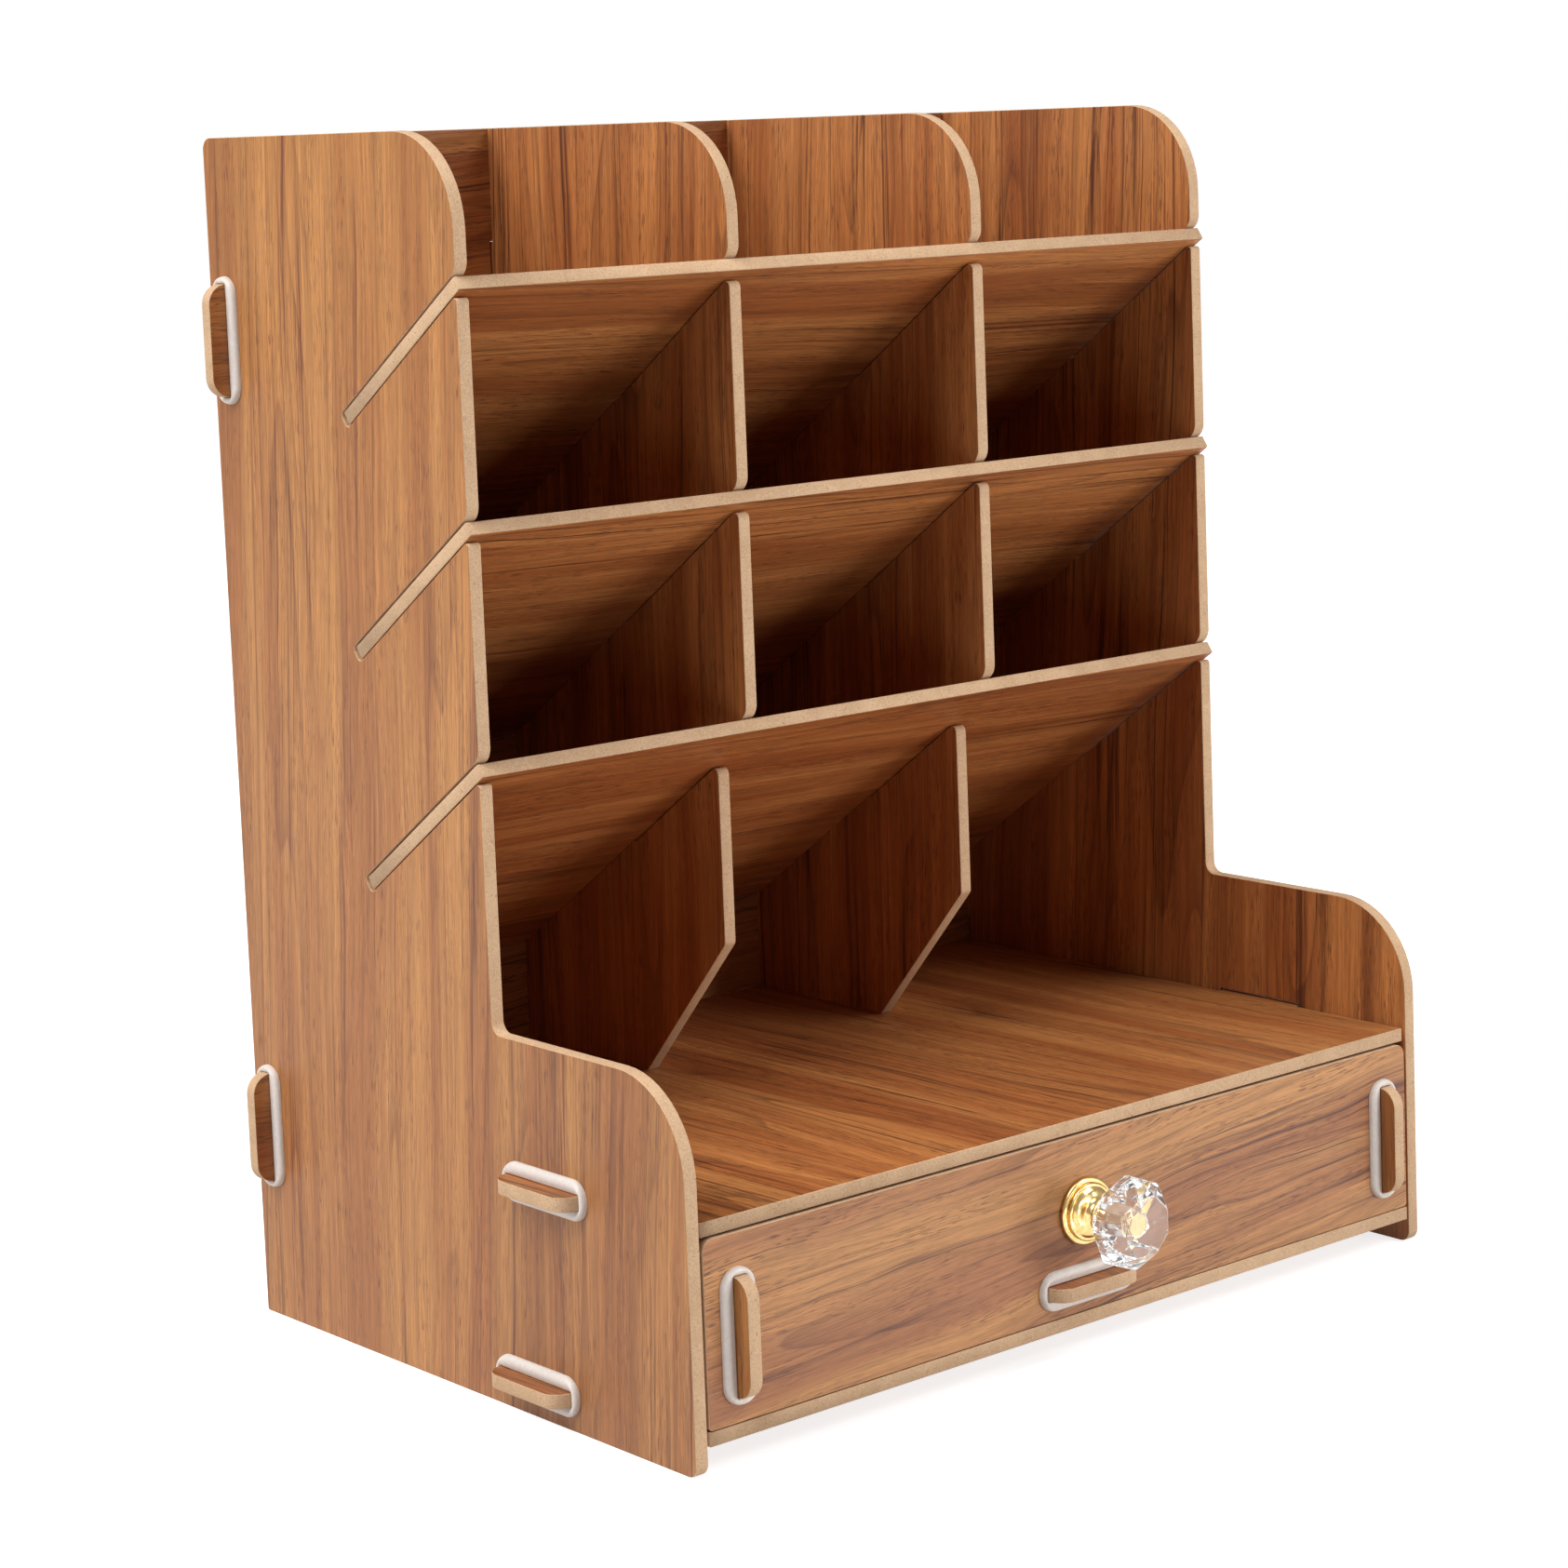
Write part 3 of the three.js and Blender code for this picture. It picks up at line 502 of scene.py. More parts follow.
ring_noise = wire.math("MULTIPLY", wire.noise(stretched(480, 30, 9.0, bent), 1.5, 0.4), 15.0)
ring = wire.math("FRACT", ring_noise)
ring_line = wire.math("MULTIPLY", wire.math("POWER", ring, 6.0), wire.steps(ring, 0.96, 1.0, 1.0, 0.0))
veins = wire.steps(wire.noise(stretched(240, 4.6, 14.0, bent), 5.0, 0.72), 0.54, 0.70)
hairlines = wire.steps(wire.noise(stretched(130, 0.9, 17.0, bent), 2.0, 0.5), 0.60, 0.67)
dark = wire.math("ADD", wire.math("MULTIPLY", ring_line, 0.6), veins)
dark = wire.math("ADD", dark, wire.math("MULTIPLY", hairlines, 0.75))
presence = wire.steps(wire.noise(stretched(260, 17, 21.0), 2.0), 0.38, 0.62, 0.12, 1.1)
dark = wire.math("MULTIPLY", wire.math("MULTIPLY", dark, presence), given["Vein strength"])
joint = wire.steps(wire.math("PINGPONG", strip_place, 0.5), 0.0, 0.006, 0.45, 0.0)
dark = wire.math("MINIMUM", wire.math("ADD", dark, joint), 0.92)
colour = wire.blend(dark, colour, given["Vein"])

fibres = wire.noise(stretched(14, 0.42, 30.0, bent), 3.0, 0.7)
streaks = wire.noise(stretched(80, 1.5, 33.0, bent), 3.0, 0.66)
pores = wire.steps(wire.noise(stretched(5.0, 0.3, 37.0, bent), 1.0), 0.57, 0.63)
pore_presence = wire.steps(wire.noise(stretched(50, 5, 41.0), 1.0), 0.4, 0.62, 0.3, 1.0)
pores = wire.math("MULTIPLY", pores, pore_presence)
fibre_tone = wire.steps(fibres, 0.3, 0.7, 0.82, 1.15)
streak_tone = wire.steps(streaks, 0.3, 0.7, 1.15, 0.85)
strip_tone = wire.math("SUBTRACT", 1.06, wire.math("MULTIPLY", strip_chance, 0.14))
tone = wire.math("MULTIPLY", wire.math("MULTIPLY", fibre_tone, streak_tone), strip_tone)
tone_colour = wire.node("ShaderNodeCombineColor", {"Red": tone, "Green": tone, "Blue": tone}).outputs[0]
colour = wire.blend(1.0, colour, tone_colour, "MULTIPLY")
colour = wire.blend(wire.math("MULTIPLY", pores, 0.62), colour, given["Vein"])
wire.link(colour, out["Color"])
height = wire.math("SUBTRACT", wire.math("MULTIPLY", fibres, 0.3), pores)
wire.link(height, out["Height"])
wire.link(wire.steps(fibres, 0.3, 0.7, 0.5, 0.4), out["Roughness"])
print("wood grain group:", len(grain_group.nodes), "nodes")

# %% [markdown]
# ## Raw fibreboard
#
# Where the boards are cut, the pressed fibres show: a pale, dull brown with fine specks, slightly
# darker where the blade has burnished it. The specks are the same size in all directions.

# %% Build the fibreboard group
fibre_group, wire, given, out = new_group(
    "pressed_fibre",
    [
        ("Grain", PLACE, None),
        ("Pale", COLOUR, screen_colour(207, 173, 138)),
        ("Burnished", COLOUR, screen_colour(184, 149, 115)),
    ],
    [("Color", COLOUR), ("Height", VALUE), ("Roughness", VALUE)],
)
cloudy = wire.noise(given["Grain"], 2.0, 0.6, 0.12)
specks = wire.noise(given["Grain"], 3.0, 0.8, 2.6)
mixed = wire.math("ADD", wire.math("MULTIPLY", cloudy, 0.25), wire.math("MULTIPLY", specks, 0.75))
colour = wire.blend(wire.steps(mixed, 0.38, 0.62), given["Pale"], given["Burnished"])
chips = wire.steps(wire.noise(given["Grain"], 1.0, 0.5, 1.3), 0.68, 0.76, 0.0, 0.45)
colour = wire.blend(chips, colour, screen_colour(140, 104, 72))
wire.link(colour, out["Color"])
wire.link(specks, out["Height"])
wire.link(wire.steps(specks, 0.3, 0.7, 0.7, 0.86), out["Roughness"])
print("fibreboard group:", len(fibre_group.nodes), "nodes")

# %% [markdown]
# ## The board material
#
# One material carries both finishes. The `rim` attribute is zero on the printed faces and grows
# round the softened edge, so a sharp step in it is the line where the film ends. A little noise in
# that step gives the line the slight unevenness of a pressed cut. The material is made four times:
# for the left side and the drawer's sides, for the backs and the level boards, for the shelves, the
# dividers and the right side, and for the drawer front. Each has tones of its own, partly as sheets
# of film differ and partly as painted light. The boards inside the case, the right side among them,
# take redder, more saturated tones as painted shade for the deep, reddish light between them. The
# drawer front takes paler tones as a painted sheen.


# %% Make the board materials
def attribute(wire, name, output):
    """Reads an attribute that the mesh carries."""
    return wire.node("ShaderNodeAttribute", attribute_name=name).outputs[output]


def new_material(name):
    """An empty material with its shader and the wiring to build it."""
    material = bpy.data.materials.new(name)
    material.use_nodes = True
    wire = Wiring(material.node_tree)
    shader = material.node_tree.nodes["Principled BSDF"]
    return material, wire, shader


def use_group(wire, group, inputs):
    """Places a node group in a material with its own values."""
    return wire.node("ShaderNodeGroup", inputs, node_tree=group).outputs


def board_material(name, tones, wave, strength):
    """Printed film on the faces and pressed fibre on the cut edges.

    The tones are those of the film's light and warm bands and of its veins, in screen steps."""
    material, wire, shader = new_material(name)
    place = attribute(wire, "grain", "Vector")
    colours = {part: screen_colour(*tone) for part, tone in zip(("Light", "Warm", "Vein"), tones)}
    film = use_group(wire, grain_group, {"Grain": place, **colours, "Wave": wave, "Vein strength": strength})
    fibre = use_group(wire, fibre_group, {"Grain": place})
    uneven = wire.math("MULTIPLY", wire.noise(place, 2.0, 0.5, 1.6), 0.1)
    cut = wire.steps(wire.math("SUBTRACT", attribute(wire, "rim", "Fac"), uneven), 0.04, 0.12)
    colour = wire.blend(cut, film["Color"], fibre["Color"])
    roughness = wire.between(cut, film["Roughness"], fibre["Roughness"])
    height = wire.between(cut, film["Height"], fibre["Height"])
    bump = wire.node("ShaderNodeBump", {"Height": height, "Strength": 0.35, "Distance": 0.00015})
    wire.link(colour, shader.inputs["Base Color"])
    wire.link(roughness, shader.inputs["Roughness"])
    wire.link(bump.outputs["Normal"], shader.inputs["Normal"])
    shader.inputs["Specular IOR Level"].default_value = 0.4
    return material


# Painted light in the tones: the level and inner boards' redder, more saturated tones are partly painted shade,
# and the drawer front's paler tones are partly a painted sheen.
upright_finish = board_material("upright_boards", [(179, 123, 68), (155, 97, 50), (98, 47, 24)], 4.0, 0.85)
level_finish = board_material("level_boards", [(180, 118, 65), (152, 87, 44), (70, 36, 24)], 6.0, 0.95)
inner_finish = board_material("inner_boards", [(190, 123, 68), (159, 92, 47), (84, 42, 26)], 5.0, 0.9)
drawer_finish = board_material("drawer_front_board", [(181, 128, 79), (157, 102, 65), (82, 43, 31)], 9.0, 1.15)
print("board materials:", upright_finish.name, level_finish.name, inner_finish.name, drawer_finish.name)

# %% [markdown]
# ## Plastic, gold and crystal
#
# The rings in the slots are frosted white plastic that lets a little light through. The knob's
# foot is polished gold-coloured metal, and its head is clear cut crystal with almost no roughness.

# %% Make the plastic, gold and crystal materials
ring_finish, wire, shader = new_material("ring_plastic")
place = wire.place()
clouds = wire.noise(place, 2.0, 0.5, 900.0)
tone = wire.blend(wire.steps(clouds, 0.3, 0.7), screen_colour(219, 210, 203), screen_colour(212, 203, 196))
wire.link(tone, shader.inputs["Base Color"])
wire.link(wire.steps(clouds, 0.3, 0.7, 0.34, 0.44), shader.inputs["Roughness"])
shader.inputs["Subsurface Weight"].default_value = 0.2
shader.inputs["Subsurface Radius"].default_value = (1.0, 0.9, 0.85)
shader.inputs["Subsurface Scale"].default_value = 0.0012

gold_finish, wire, shader = new_material("polished_gold")
place = wire.place()
polish = wire.noise(place, 3.0, 0.6, 700.0)
tone = wire.blend(wire.steps(polish, 0.35, 0.65), screen_colour(235, 206, 146), screen_colour(222, 188, 122))
wire.link(tone, shader.inputs["Base Color"])
wire.link(wire.steps(polish, 0.3, 0.7, 0.16, 0.24), shader.inputs["Roughness"])
shader.inputs["Metallic"].default_value = 1.0

crystal_finish, wire, shader = new_material("clear_crystal")
place = wire.place()
handling = wire.noise(place, 3.0, 0.6, 260.0)
wire.link(wire.steps(handling, 0.35, 0.75, 0.015, 0.05), shader.inputs["Roughness"])
shader.inputs["Base Color"].default_value = (0.985, 0.99, 0.99, 1)
shader.inputs["Transmission Weight"].default_value = 0.95
shader.inputs["IOR"].default_value = 1.5
print("made", ring_finish.name, gold_finish.name, crystal_finish.name)

# %% [markdown]
# ## Adding a piece
#
# Every piece rides on the body that its measured piece belongs to, stands in for that piece and
# is dressed in a finish. Its box is compared with the measured piece's box, and the largest
# difference is printed at the end, so that a wrong size shows at once.

# %% Add a piece in place of a measured one
box_errors = {}


def add_piece(name, mesh, finish):
    """Makes an object from a mesh, dressed in a finish, in place of the measured piece of that name."""
    piece = bpy.data.objects.new(name + "_piece", mesh)
    bpy.context.scene.collection.objects.link(piece)
    mesh.materials.append(finish)
    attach(piece, body_of_node[name])
    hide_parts(name)
    low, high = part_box(name)
    points = np.empty(len(mesh.vertices) * 3, np.float32)
    mesh.vertices.foreach_get("co", points)
    points = points.reshape(-1, 3)
    box_errors[name] = float(max(np.abs(points.min(0) - low).max(), np.abs(points.max(0) - high).max()) / MM)
    return piece


def add_board(name, outline, slots, axes, place, grain_along, finish, lean=2.0):
    """Builds one board and adds it."""
    seed = 1 + len(box_errors)
    points, quads, triangles, grain, rim = board(outline, slots, axes, place, grain_along, lean, seed)
    mesh = mesh_from(name, points, quads, triangles)
    store(mesh, "grain", "FLOAT_VECTOR", grain)
    store(mesh, "rim", "FLOAT", rim)
    add_piece(name, mesh, finish)


print("pieces can be added now")

# %% [markdown]
# ## The side panels
#
# Each side panel is one board: a tall part with an arched front corner, a lower ledge that
# encloses the tray, and three sloping slots open to the front. The list below walks round it from
# the back of the foot, with one line for each corner.

# %% Side panels
slots_from_below = [SHELF_FRONTS[name] for name in ("lower_shelf", "middle_shelf", "upper_shelf")]
side_outline = [
    (0, 0, HEEL),
    (CASE_DEPTH, 0, CORNER),
    (CASE_DEPTH, LEDGE_HEIGHT, ARCH),
    (UPPER_DEPTH, LEDGE_HEIGHT, CORNER),
    *(
        corner
        for height in slots_from_below
        for corner in shelf_slot(height, UPPER_DEPTH, UPPER_DEPTH, SIDE_NOSE)
    ),
    (UPPER_DEPTH, CASE_HEIGHT, ARCH),
    (0, CASE_HEIGHT, CORNER),
]
side_slots = [
    *(slot(BACK_FACE - BOARD / 2, height, "b") for height in BACK_TABS),
    slot(TRAY_TAB_DEPTH, TRAY_TOP - BOARD / 2, "a"),
    slot(BASE_TAB_DEPTH, BASE_TOP - BOARD / 2, "a"),
]
add_board("left_side_panel", side_outline, side_slots, SIDE_ON, (-INNER_HALF, 0, 0), "b", upright_finish, 3.7)
add_board("right_side_panel", side_outline, side_slots, SIDE_ON, (HALF_WIDTH, 0, 0), "b", inner_finish, 3.7)
print("side panels differ from the measured boxes by", box_errors, "mm")

# %% [markdown]
# ## The boards across the case
#
# The back panel, the base and the tray floor run from side to side and end in tabs. The tray
# floor's film was cut the other way round, so its grain runs from front to back.

# %% Back panel, base and tray floor
half = INNER_HALF - SEAT_GAP
ends = (BACK_TABS, SEAT_GAP + BOARD + TAB_REACH)
back_outline = tabbed_rectangle(-half, half, 0, CASE_HEIGHT, first=ends, last=ends)
back_slots = [
    *(slot(middle, height, "b") for middle in DIVIDER_MIDDLES.values() for height in DIVIDER_TABS),
    slot(0, TRAY_TOP - BOARD / 2, "a"),
    slot(0, BASE_TOP - BOARD / 2, "a"),
]
add_board("back_panel", back_outline, back_slots, FRONT_ON, (0, -BACK_INSET, 0), "a", level_finish)


def add_level_board(name, top, front, tab_depth):
    """A level board with a tab on each end and one through the back panel."""
    half = INNER_HALF - LEVEL_END_GAP
    ends = ([tab_depth], LEVEL_END_GAP + BOARD + TAB_REACH)
    rear = ([0.0], SEAT_GAP + BOARD + REAR_REACH)
    outline = tabbed_rectangle(-half, half, BACK_FACE + SEAT_GAP, front, first=ends, last=ends, low=rear)
    add_board(name, outline, [], LEVEL_ON, (0, 0, top), "b", level_finish)


add_level_board("base_panel", BASE_TOP, CASE_DEPTH, BASE_TAB_DEPTH)
add_level_board("bay_top_panel", TRAY_TOP, CASE_DEPTH - TRAY_SETBACK, TRAY_TAB_DEPTH)
print("boards so far:", len(box_errors))

# %% [markdown]
# ## Shelves and dividers
#
# The three shelves slope down towards the back and the two dividers stand upright between them.
# They cross in half-laps: the shelf is cut from behind and the divider from the front, each to
# the middle, as in an egg crate.

# %% Slanted shelves
shelf_length = (SHELF_DEPTH - BACK_FACE - SHELF_BACK_GAP) / np.cos(SLANT)
rear_half = INNER_HALF - SEAT_GAP
lap_half = BOARD / 2 + LAP_PLAY
laps = [
    corner
    for middle in sorted(DIVIDER_MIDDLES.values(), reverse=True)
    for corner in (
        (middle + lap_half, shelf_length, 0),
        (middle + lap_half, LAP_DEPTH, SLOT_ROUNDING),
        (middle - lap_half, LAP_DEPTH, SLOT_ROUNDING),
        (middle - lap_half, shelf_length, 0),
    )
]
shelf_outline = [
    (-HALF_WIDTH, 0, 0),
    (HALF_WIDTH, 0, 0),
    (HALF_WIDTH, LAP_DEPTH, 0),
    (rear_half, LAP_DEPTH, 0),
    (rear_half, shelf_length, 0),
    *laps,
    (-rear_half, shelf_length, 0),
    (-rear_half, LAP_DEPTH, 0),
    (-HALF_WIDTH, LAP_DEPTH, 0),
]
down_slope = np.array([0, np.cos(SLANT), -np.sin(SLANT)])
over_face = np.array([0, np.sin(SLANT), np.cos(SLANT)])
for shelf_name, front_height in SHELF_FRONTS.items():
    depth, height = near_shelf(front_height, 0, -BOARD)[:2]
    axes = (RIGHT, down_slope, over_face)
    add_board(shelf_name, shelf_outline, [], axes, (0, -depth, height), "a", inner_finish)
print("shelf length down the slope", round(shelf_length, 1), "mm")

# %% Upright dividers
low_depth = UPPER_DEPTH - DIVIDER_STEP
foot, rear = TRAY_TOP + SEAT_GAP, BACK_FACE + SEAT_GAP
tabs_from_top, tab_reach = CASE_HEIGHT - np.array(DIVIDER_TABS), SEAT_GAP + BOARD + REAR_REACH
divider_outline = [
    (rear, foot, 0),
    (low_depth - TOE_SETBACK, foot, 0),
    (low_depth, TRAY_TOP + KNEE_HEIGHT, KNEE),
    *(
        corner
        for k, height in enumerate(slots_from_below)
        for corner in shelf_slot(height, UPPER_DEPTH if k else low_depth, UPPER_DEPTH, DIVIDER_NOSE)
    ),
    (UPPER_DEPTH, CASE_HEIGHT, ARCH),
    *tabbed((rear, CASE_HEIGHT), (rear, foot), tabs_from_top, tab_reach),
]
for divider_name, middle in DIVIDER_MIDDLES.items():
    add_board(divider_name, divider_outline, [], SIDE_ON, (middle + BOARD / 2, 0, 0), "b", inner_finish)
print("boards so far:", len(box_errors))

# %% [markdown]
# ## The drawer
#
# The drawer is a shallow tray of five boards. Its front fills the bay with a thin gap all round,
# and the tabs of its sides and of its bottom show in three plastic rings.

# %% Drawer boards
end_slots = [
    slot(-DRAWER_SIDE_FACE + BOARD / 2, DRAWER_TAB_HEIGHT, "b"),
    slot(DRAWER_SIDE_FACE - BOARD / 2, DRAWER_TAB_HEIGHT, "b"),
    slot(0, DRAWER_FLOOR, "a"),
]
hole_low, hole_high = KNOB_HEIGHT - SCREW_HOLE, KNOB_HEIGHT + SCREW_HOLE
screw_hole = rectangle(-SCREW_HOLE, SCREW_HOLE, hole_low, hole_high, SCREW_HOLE - 10 * WELD)
drawer_top = DRAWER_LOW + DRAWER_FRONT_HEIGHT
front_outline = [
    (-DRAWER_HALF, DRAWER_LOW, DRAWER_FOOT),
    (DRAWER_HALF, DRAWER_LOW, DRAWER_FOOT),
    (DRAWER_HALF, drawer_top, CORNER),
    (-DRAWER_HALF, drawer_top, CORNER),
]
place = (0, -DRAWER_INNER_FRONT, 0)
add_board("drawer_front", front_outline, [*end_slots, screw_hole], FRONT_ON, place, "a", drawer_finish, 4.0)
back_outline = rectangle(-DRAWER_HALF, DRAWER_HALF, DRAWER_LOW, DRAWER_LOW + DRAWER_WALL, CORNER)
add_board("drawer_back", back_outline, end_slots, FRONT_ON, (0, -DRAWER_REAR, 0), "a", level_finish)

inner_rear, inner_front = DRAWER_REAR + BOARD + SEAT_GAP, DRAWER_INNER_FRONT - SEAT_GAP
reach = SEAT_GAP + BOARD + TAB_REACH
side_tabs = ([DRAWER_TAB_HEIGHT], reach)
wall_top = DRAWER_LOW + DRAWER_WALL
wall_outline = tabbed_rectangle(inner_rear, inner_front, DRAWER_LOW, wall_top, first=side_tabs, last=side_tabs)
wall_slots = [slot(FLOOR_TAB_DEPTH, DRAWER_FLOOR, "a")]
for side, x in (("left", BOARD - DRAWER_SIDE_FACE), ("right", DRAWER_SIDE_FACE)):
    add_board(f"drawer_{side}_side", wall_outline, wall_slots, SIDE_ON, (x, 0, 0), "b", upright_finish)

floor_half = DRAWER_SIDE_FACE - BOARD - SEAT_GAP
end_tabs, middle_tab = ([FLOOR_TAB_DEPTH], reach), ([0.0], reach)
floor_outline = tabbed_rectangle(
    -floor_half, floor_half, inner_rear, inner_front,
    first=end_tabs, last=end_tabs, low=middle_tab, high=middle_tab,
)
floor_place = (0, 0, DRAWER_FLOOR + BOARD / 2)
add_board("drawer_bottom", floor_outline, [], LEVEL_ON, floor_place, "b", level_finish)
print("largest difference from a measured box:", round(max(box_errors.values()), 3), "mm")

# %% [markdown]
# ## The plastic rings
#
# A ring lines each slot: a thin sleeve inside the board and a soft, domed flange outside. It is
# one closed surface, a cross-section carried round the opening. Each step of the cross-section is
# a rounded rectangle of its own size and corner radius, so the square opening grows into a flange
# with round ends. The flange is wide beside the tab and narrow at the tab's ends.

# %% Build the ring surface
CORNER_STEPS = 16
FLANGE_SIDE, FLANGE_END, FLANGE_HEIGHT = 3.0, 1.7, 1.6
CREST_SHARE, CREST_CURVE, EDGE_HEIGHT = 0.45, 1.6, 0.25
LIP_DROP, LIP_SHARE, MOUTH_DROP = 0.3, 0.14, 0.15


def ring_loop(at_ends, beside, radius, height):
    """A rounded rectangle, grown from the opening at its ends and beside it, at a height over the board.

    Corner k's points lie on a quarter circle about a centre one radius in from both sides."""
    quarter = np.linspace(0, np.pi / 2, CORNER_STEPS)
    angle = quarter[None] + np.arange(4)[:, None] * np.pi / 2
    side_a = np.array([1, -1, -1, 1])[:, None] * (OPENING_LONG + at_ends - radius)
    side_b = np.array([1, 1, -1, -1])[:, None] * (OPENING_SHORT + beside - radius)
    a, b = side_a + radius * np.cos(angle), side_b + radius * np.sin(angle)
    return np.stack([a, b, np.full_like(a, height)], axis=2).reshape(-1, 3)


def flange_loop(share, height):
    """A step of the flange: a share of its full width out from the opening, with its radius to match."""
    radius = OPENING_RADIUS + share * (OPENING_SHORT + FLANGE_SIDE - OPENING_RADIUS)
    return ring_loop(share * FLANGE_END, share * FLANGE_SIDE, radius, height)


def ring_surface():
    """Points and faces of a ring lying with its flange up, closed in both directions.

    The dome's height falls off as the root of 1 - x^2 over the outer half of the flange, and by a
    small square term towards the opening."""
    outer = np.linspace(0, np.pi / 2, 9)
    inner = np.linspace(0, np.pi / 2, 5)
    sleeve_end, mouth, dome = SLEEVE_SETBACK - BOARD, FLANGE_HEIGHT - MOUTH_DROP, FLANGE_HEIGHT - EDGE_HEIGHT
    sleeve_radius = OPENING_RADIUS + SLEEVE
    steps = [ring_loop(0, 0, OPENING_RADIUS, sleeve_end)]
    steps += [flange_loop(LIP_SHARE * (1 - np.cos(t)), mouth - LIP_DROP * (1 - np.sin(t))) for t in inner]
    steps += [
        flange_loop(share, FLANGE_HEIGHT - CREST_CURVE * (CREST_SHARE - share) ** 2) for share in (0.24, 0.34)
    ]
    steps += [
        flange_loop(CREST_SHARE + (1 - CREST_SHARE) * np.sin(t), EDGE_HEIGHT + dome * np.cos(t)) for t in outer
    ]
    steps += [flange_loop(1.0, 0.0)]
    steps += [ring_loop(SLEEVE, SLEEVE, sleeve_radius, height) for height in (0.0, sleeve_end)]
    grid = np.stack(steps)
    rows, count = grid.shape[:2]
    row, here = np.meshgrid(np.arange(rows), np.arange(count), indexing="ij")
    next_row, after = (row + 1) % rows, (here + 1) % count
    quads = np.stack(
        [row * count + here, next_row * count + here, next_row * count + after, row * count + after], axis=2
    )
    return grid.reshape(-1, 3), quads.reshape(-1, 4)[:, ::-1]


ring_points, ring_quads = ring_surface()
print("a ring has", len(ring_points), "points")

# %% [markdown]
# Each ring is placed by two directions: along its slot, and outwards from the board. The third
# direction is their cross product. The many edges between flat and round parts are shaded by
# angle, so the opening stays crisp and the flange looks soft.


# %% Place the rings
def add_ring(name, along, outward, place):
    """One ring on a board's outer face, its long side along the given direction."""
    axes = np.array([along, np.cross(outward, along), outward])
    world = np.asarray(place) + ring_points @ axes
    world[:, 1] += CASE_BACK
    mesh = mesh_from(name, world * MM, ring_quads, np.empty((0, 3), int))
    mesh.set_sharp_from_angle(angle=np.radians(50))
    add_piece(name, mesh, ring_finish)


back_middle = -(BACK_FACE - BOARD / 2)
tray_middle, base_middle = TRAY_TOP - BOARD / 2, BASE_TOP - BOARD / 2
for side, outward, x in (("left", LEFT, -HALF_WIDTH), ("right", RIGHT, HALF_WIDTH)):
    add_ring(f"{side}_side_upper_grommet", UP, outward, (x, back_middle, BACK_TABS[0]))
    add_ring(f"{side}_side_lower_grommet", UP, outward, (x, back_middle, BACK_TABS[1]))
    add_ring(f"{side}_side_tray_grommet", FRONT, outward, (x, -TRAY_TAB_DEPTH, tray_middle))
    add_ring(f"{side}_side_base_grommet", FRONT, outward, (x, -BASE_TAB_DEPTH, base_middle))
for divider_name, middle in DIVIDER_MIDDLES.items():
    add_ring(f"{divider_name}_upper_grommet", UP, BACK, (middle, -BACK_INSET, DIVIDER_TABS[0]))
    add_ring(f"{divider_name}_lower_grommet", UP, BACK, (middle, -BACK_INSET, DIVIDER_TABS[1]))
add_ring("back_panel_tray_grommet", RIGHT, BACK, (0, -BACK_INSET, tray_middle))
add_ring("back_panel_base_grommet", RIGHT, BACK, (0, -BACK_INSET, base_middle))

side_middle = DRAWER_SIDE_FACE - BOARD / 2
for end, outward, y in (("drawer_front", FRONT, -CASE_DEPTH), ("drawer_back", BACK, -DRAWER_REAR)):
    add_ring(f"{end}_left_grommet", UP, outward, (-side_middle, y, DRAWER_TAB_HEIGHT))
    add_ring(f"{end}_right_grommet", UP, outward, (side_middle, y, DRAWER_TAB_HEIGHT))
    add_ring(f"{end}_bottom_grommet", RIGHT, outward, (0, y, DRAWER_FLOOR))
for side, outward, x in (("left", LEFT, -DRAWER_SIDE_FACE), ("right", RIGHT, DRAWER_SIDE_FACE)):
    add_ring(f"drawer_{side}_side_grommet", FRONT, outward, (x, -FLOOR_TAB_DEPTH, DRAWER_FLOOR))
print("pieces so far:", len(box_errors))

# %% [markdown]
# ## The knob's metal foot and screw
#
# Both are turned on a lathe: a profile of radius against distance from the drawer front, spun
# round the knob's axis. The foot is a stack of rounded rings, a waisted neck and a small collar
# under the crystal.

# %% Turn the foot and the screw
TURN_STEPS = 72
KNOB_PLACE = np.array([0, CASE_BACK - CASE_DEPTH, KNOB_HEIGHT])


def bead(radius, low, high, bulge, count=7):
    """Profile points of a rounded ring: a half circle between two depths, bulging outwards."""
    angle = np.linspace(-np.pi / 2, np.pi / 2, count)
    middle, half = (low + high) / 2, (high - low) / 2
    return np.stack([radius - bulge + bulge * np.cos(angle), middle + half * np.sin(angle)], axis=1)


def smooth_through(points, count):
    """A smooth curve through profile points: cubic pieces whose slopes come from their neighbours."""
    points = np.asarray(points, float)
    padded = np.vstack([2 * points[0] - points[1], points, 2 * points[-1] - points[-2]])
    t = np.linspace(0, len(points) - 1, count)
    k = np.minimum(t.astype(int), len(points) - 2)
    s = (t - k)[:, None]
    p0, p1, p2, p3 = (padded[k + j] for j in range(4))
    square, cube = 2 * p0 - 5 * p1 + 4 * p2 - p3, 3 * p1 - p0 - 3 * p2 + p3
    return 0.5 * (2 * p1 + (p2 - p0) * s + square * s**2 + cube * s**3)


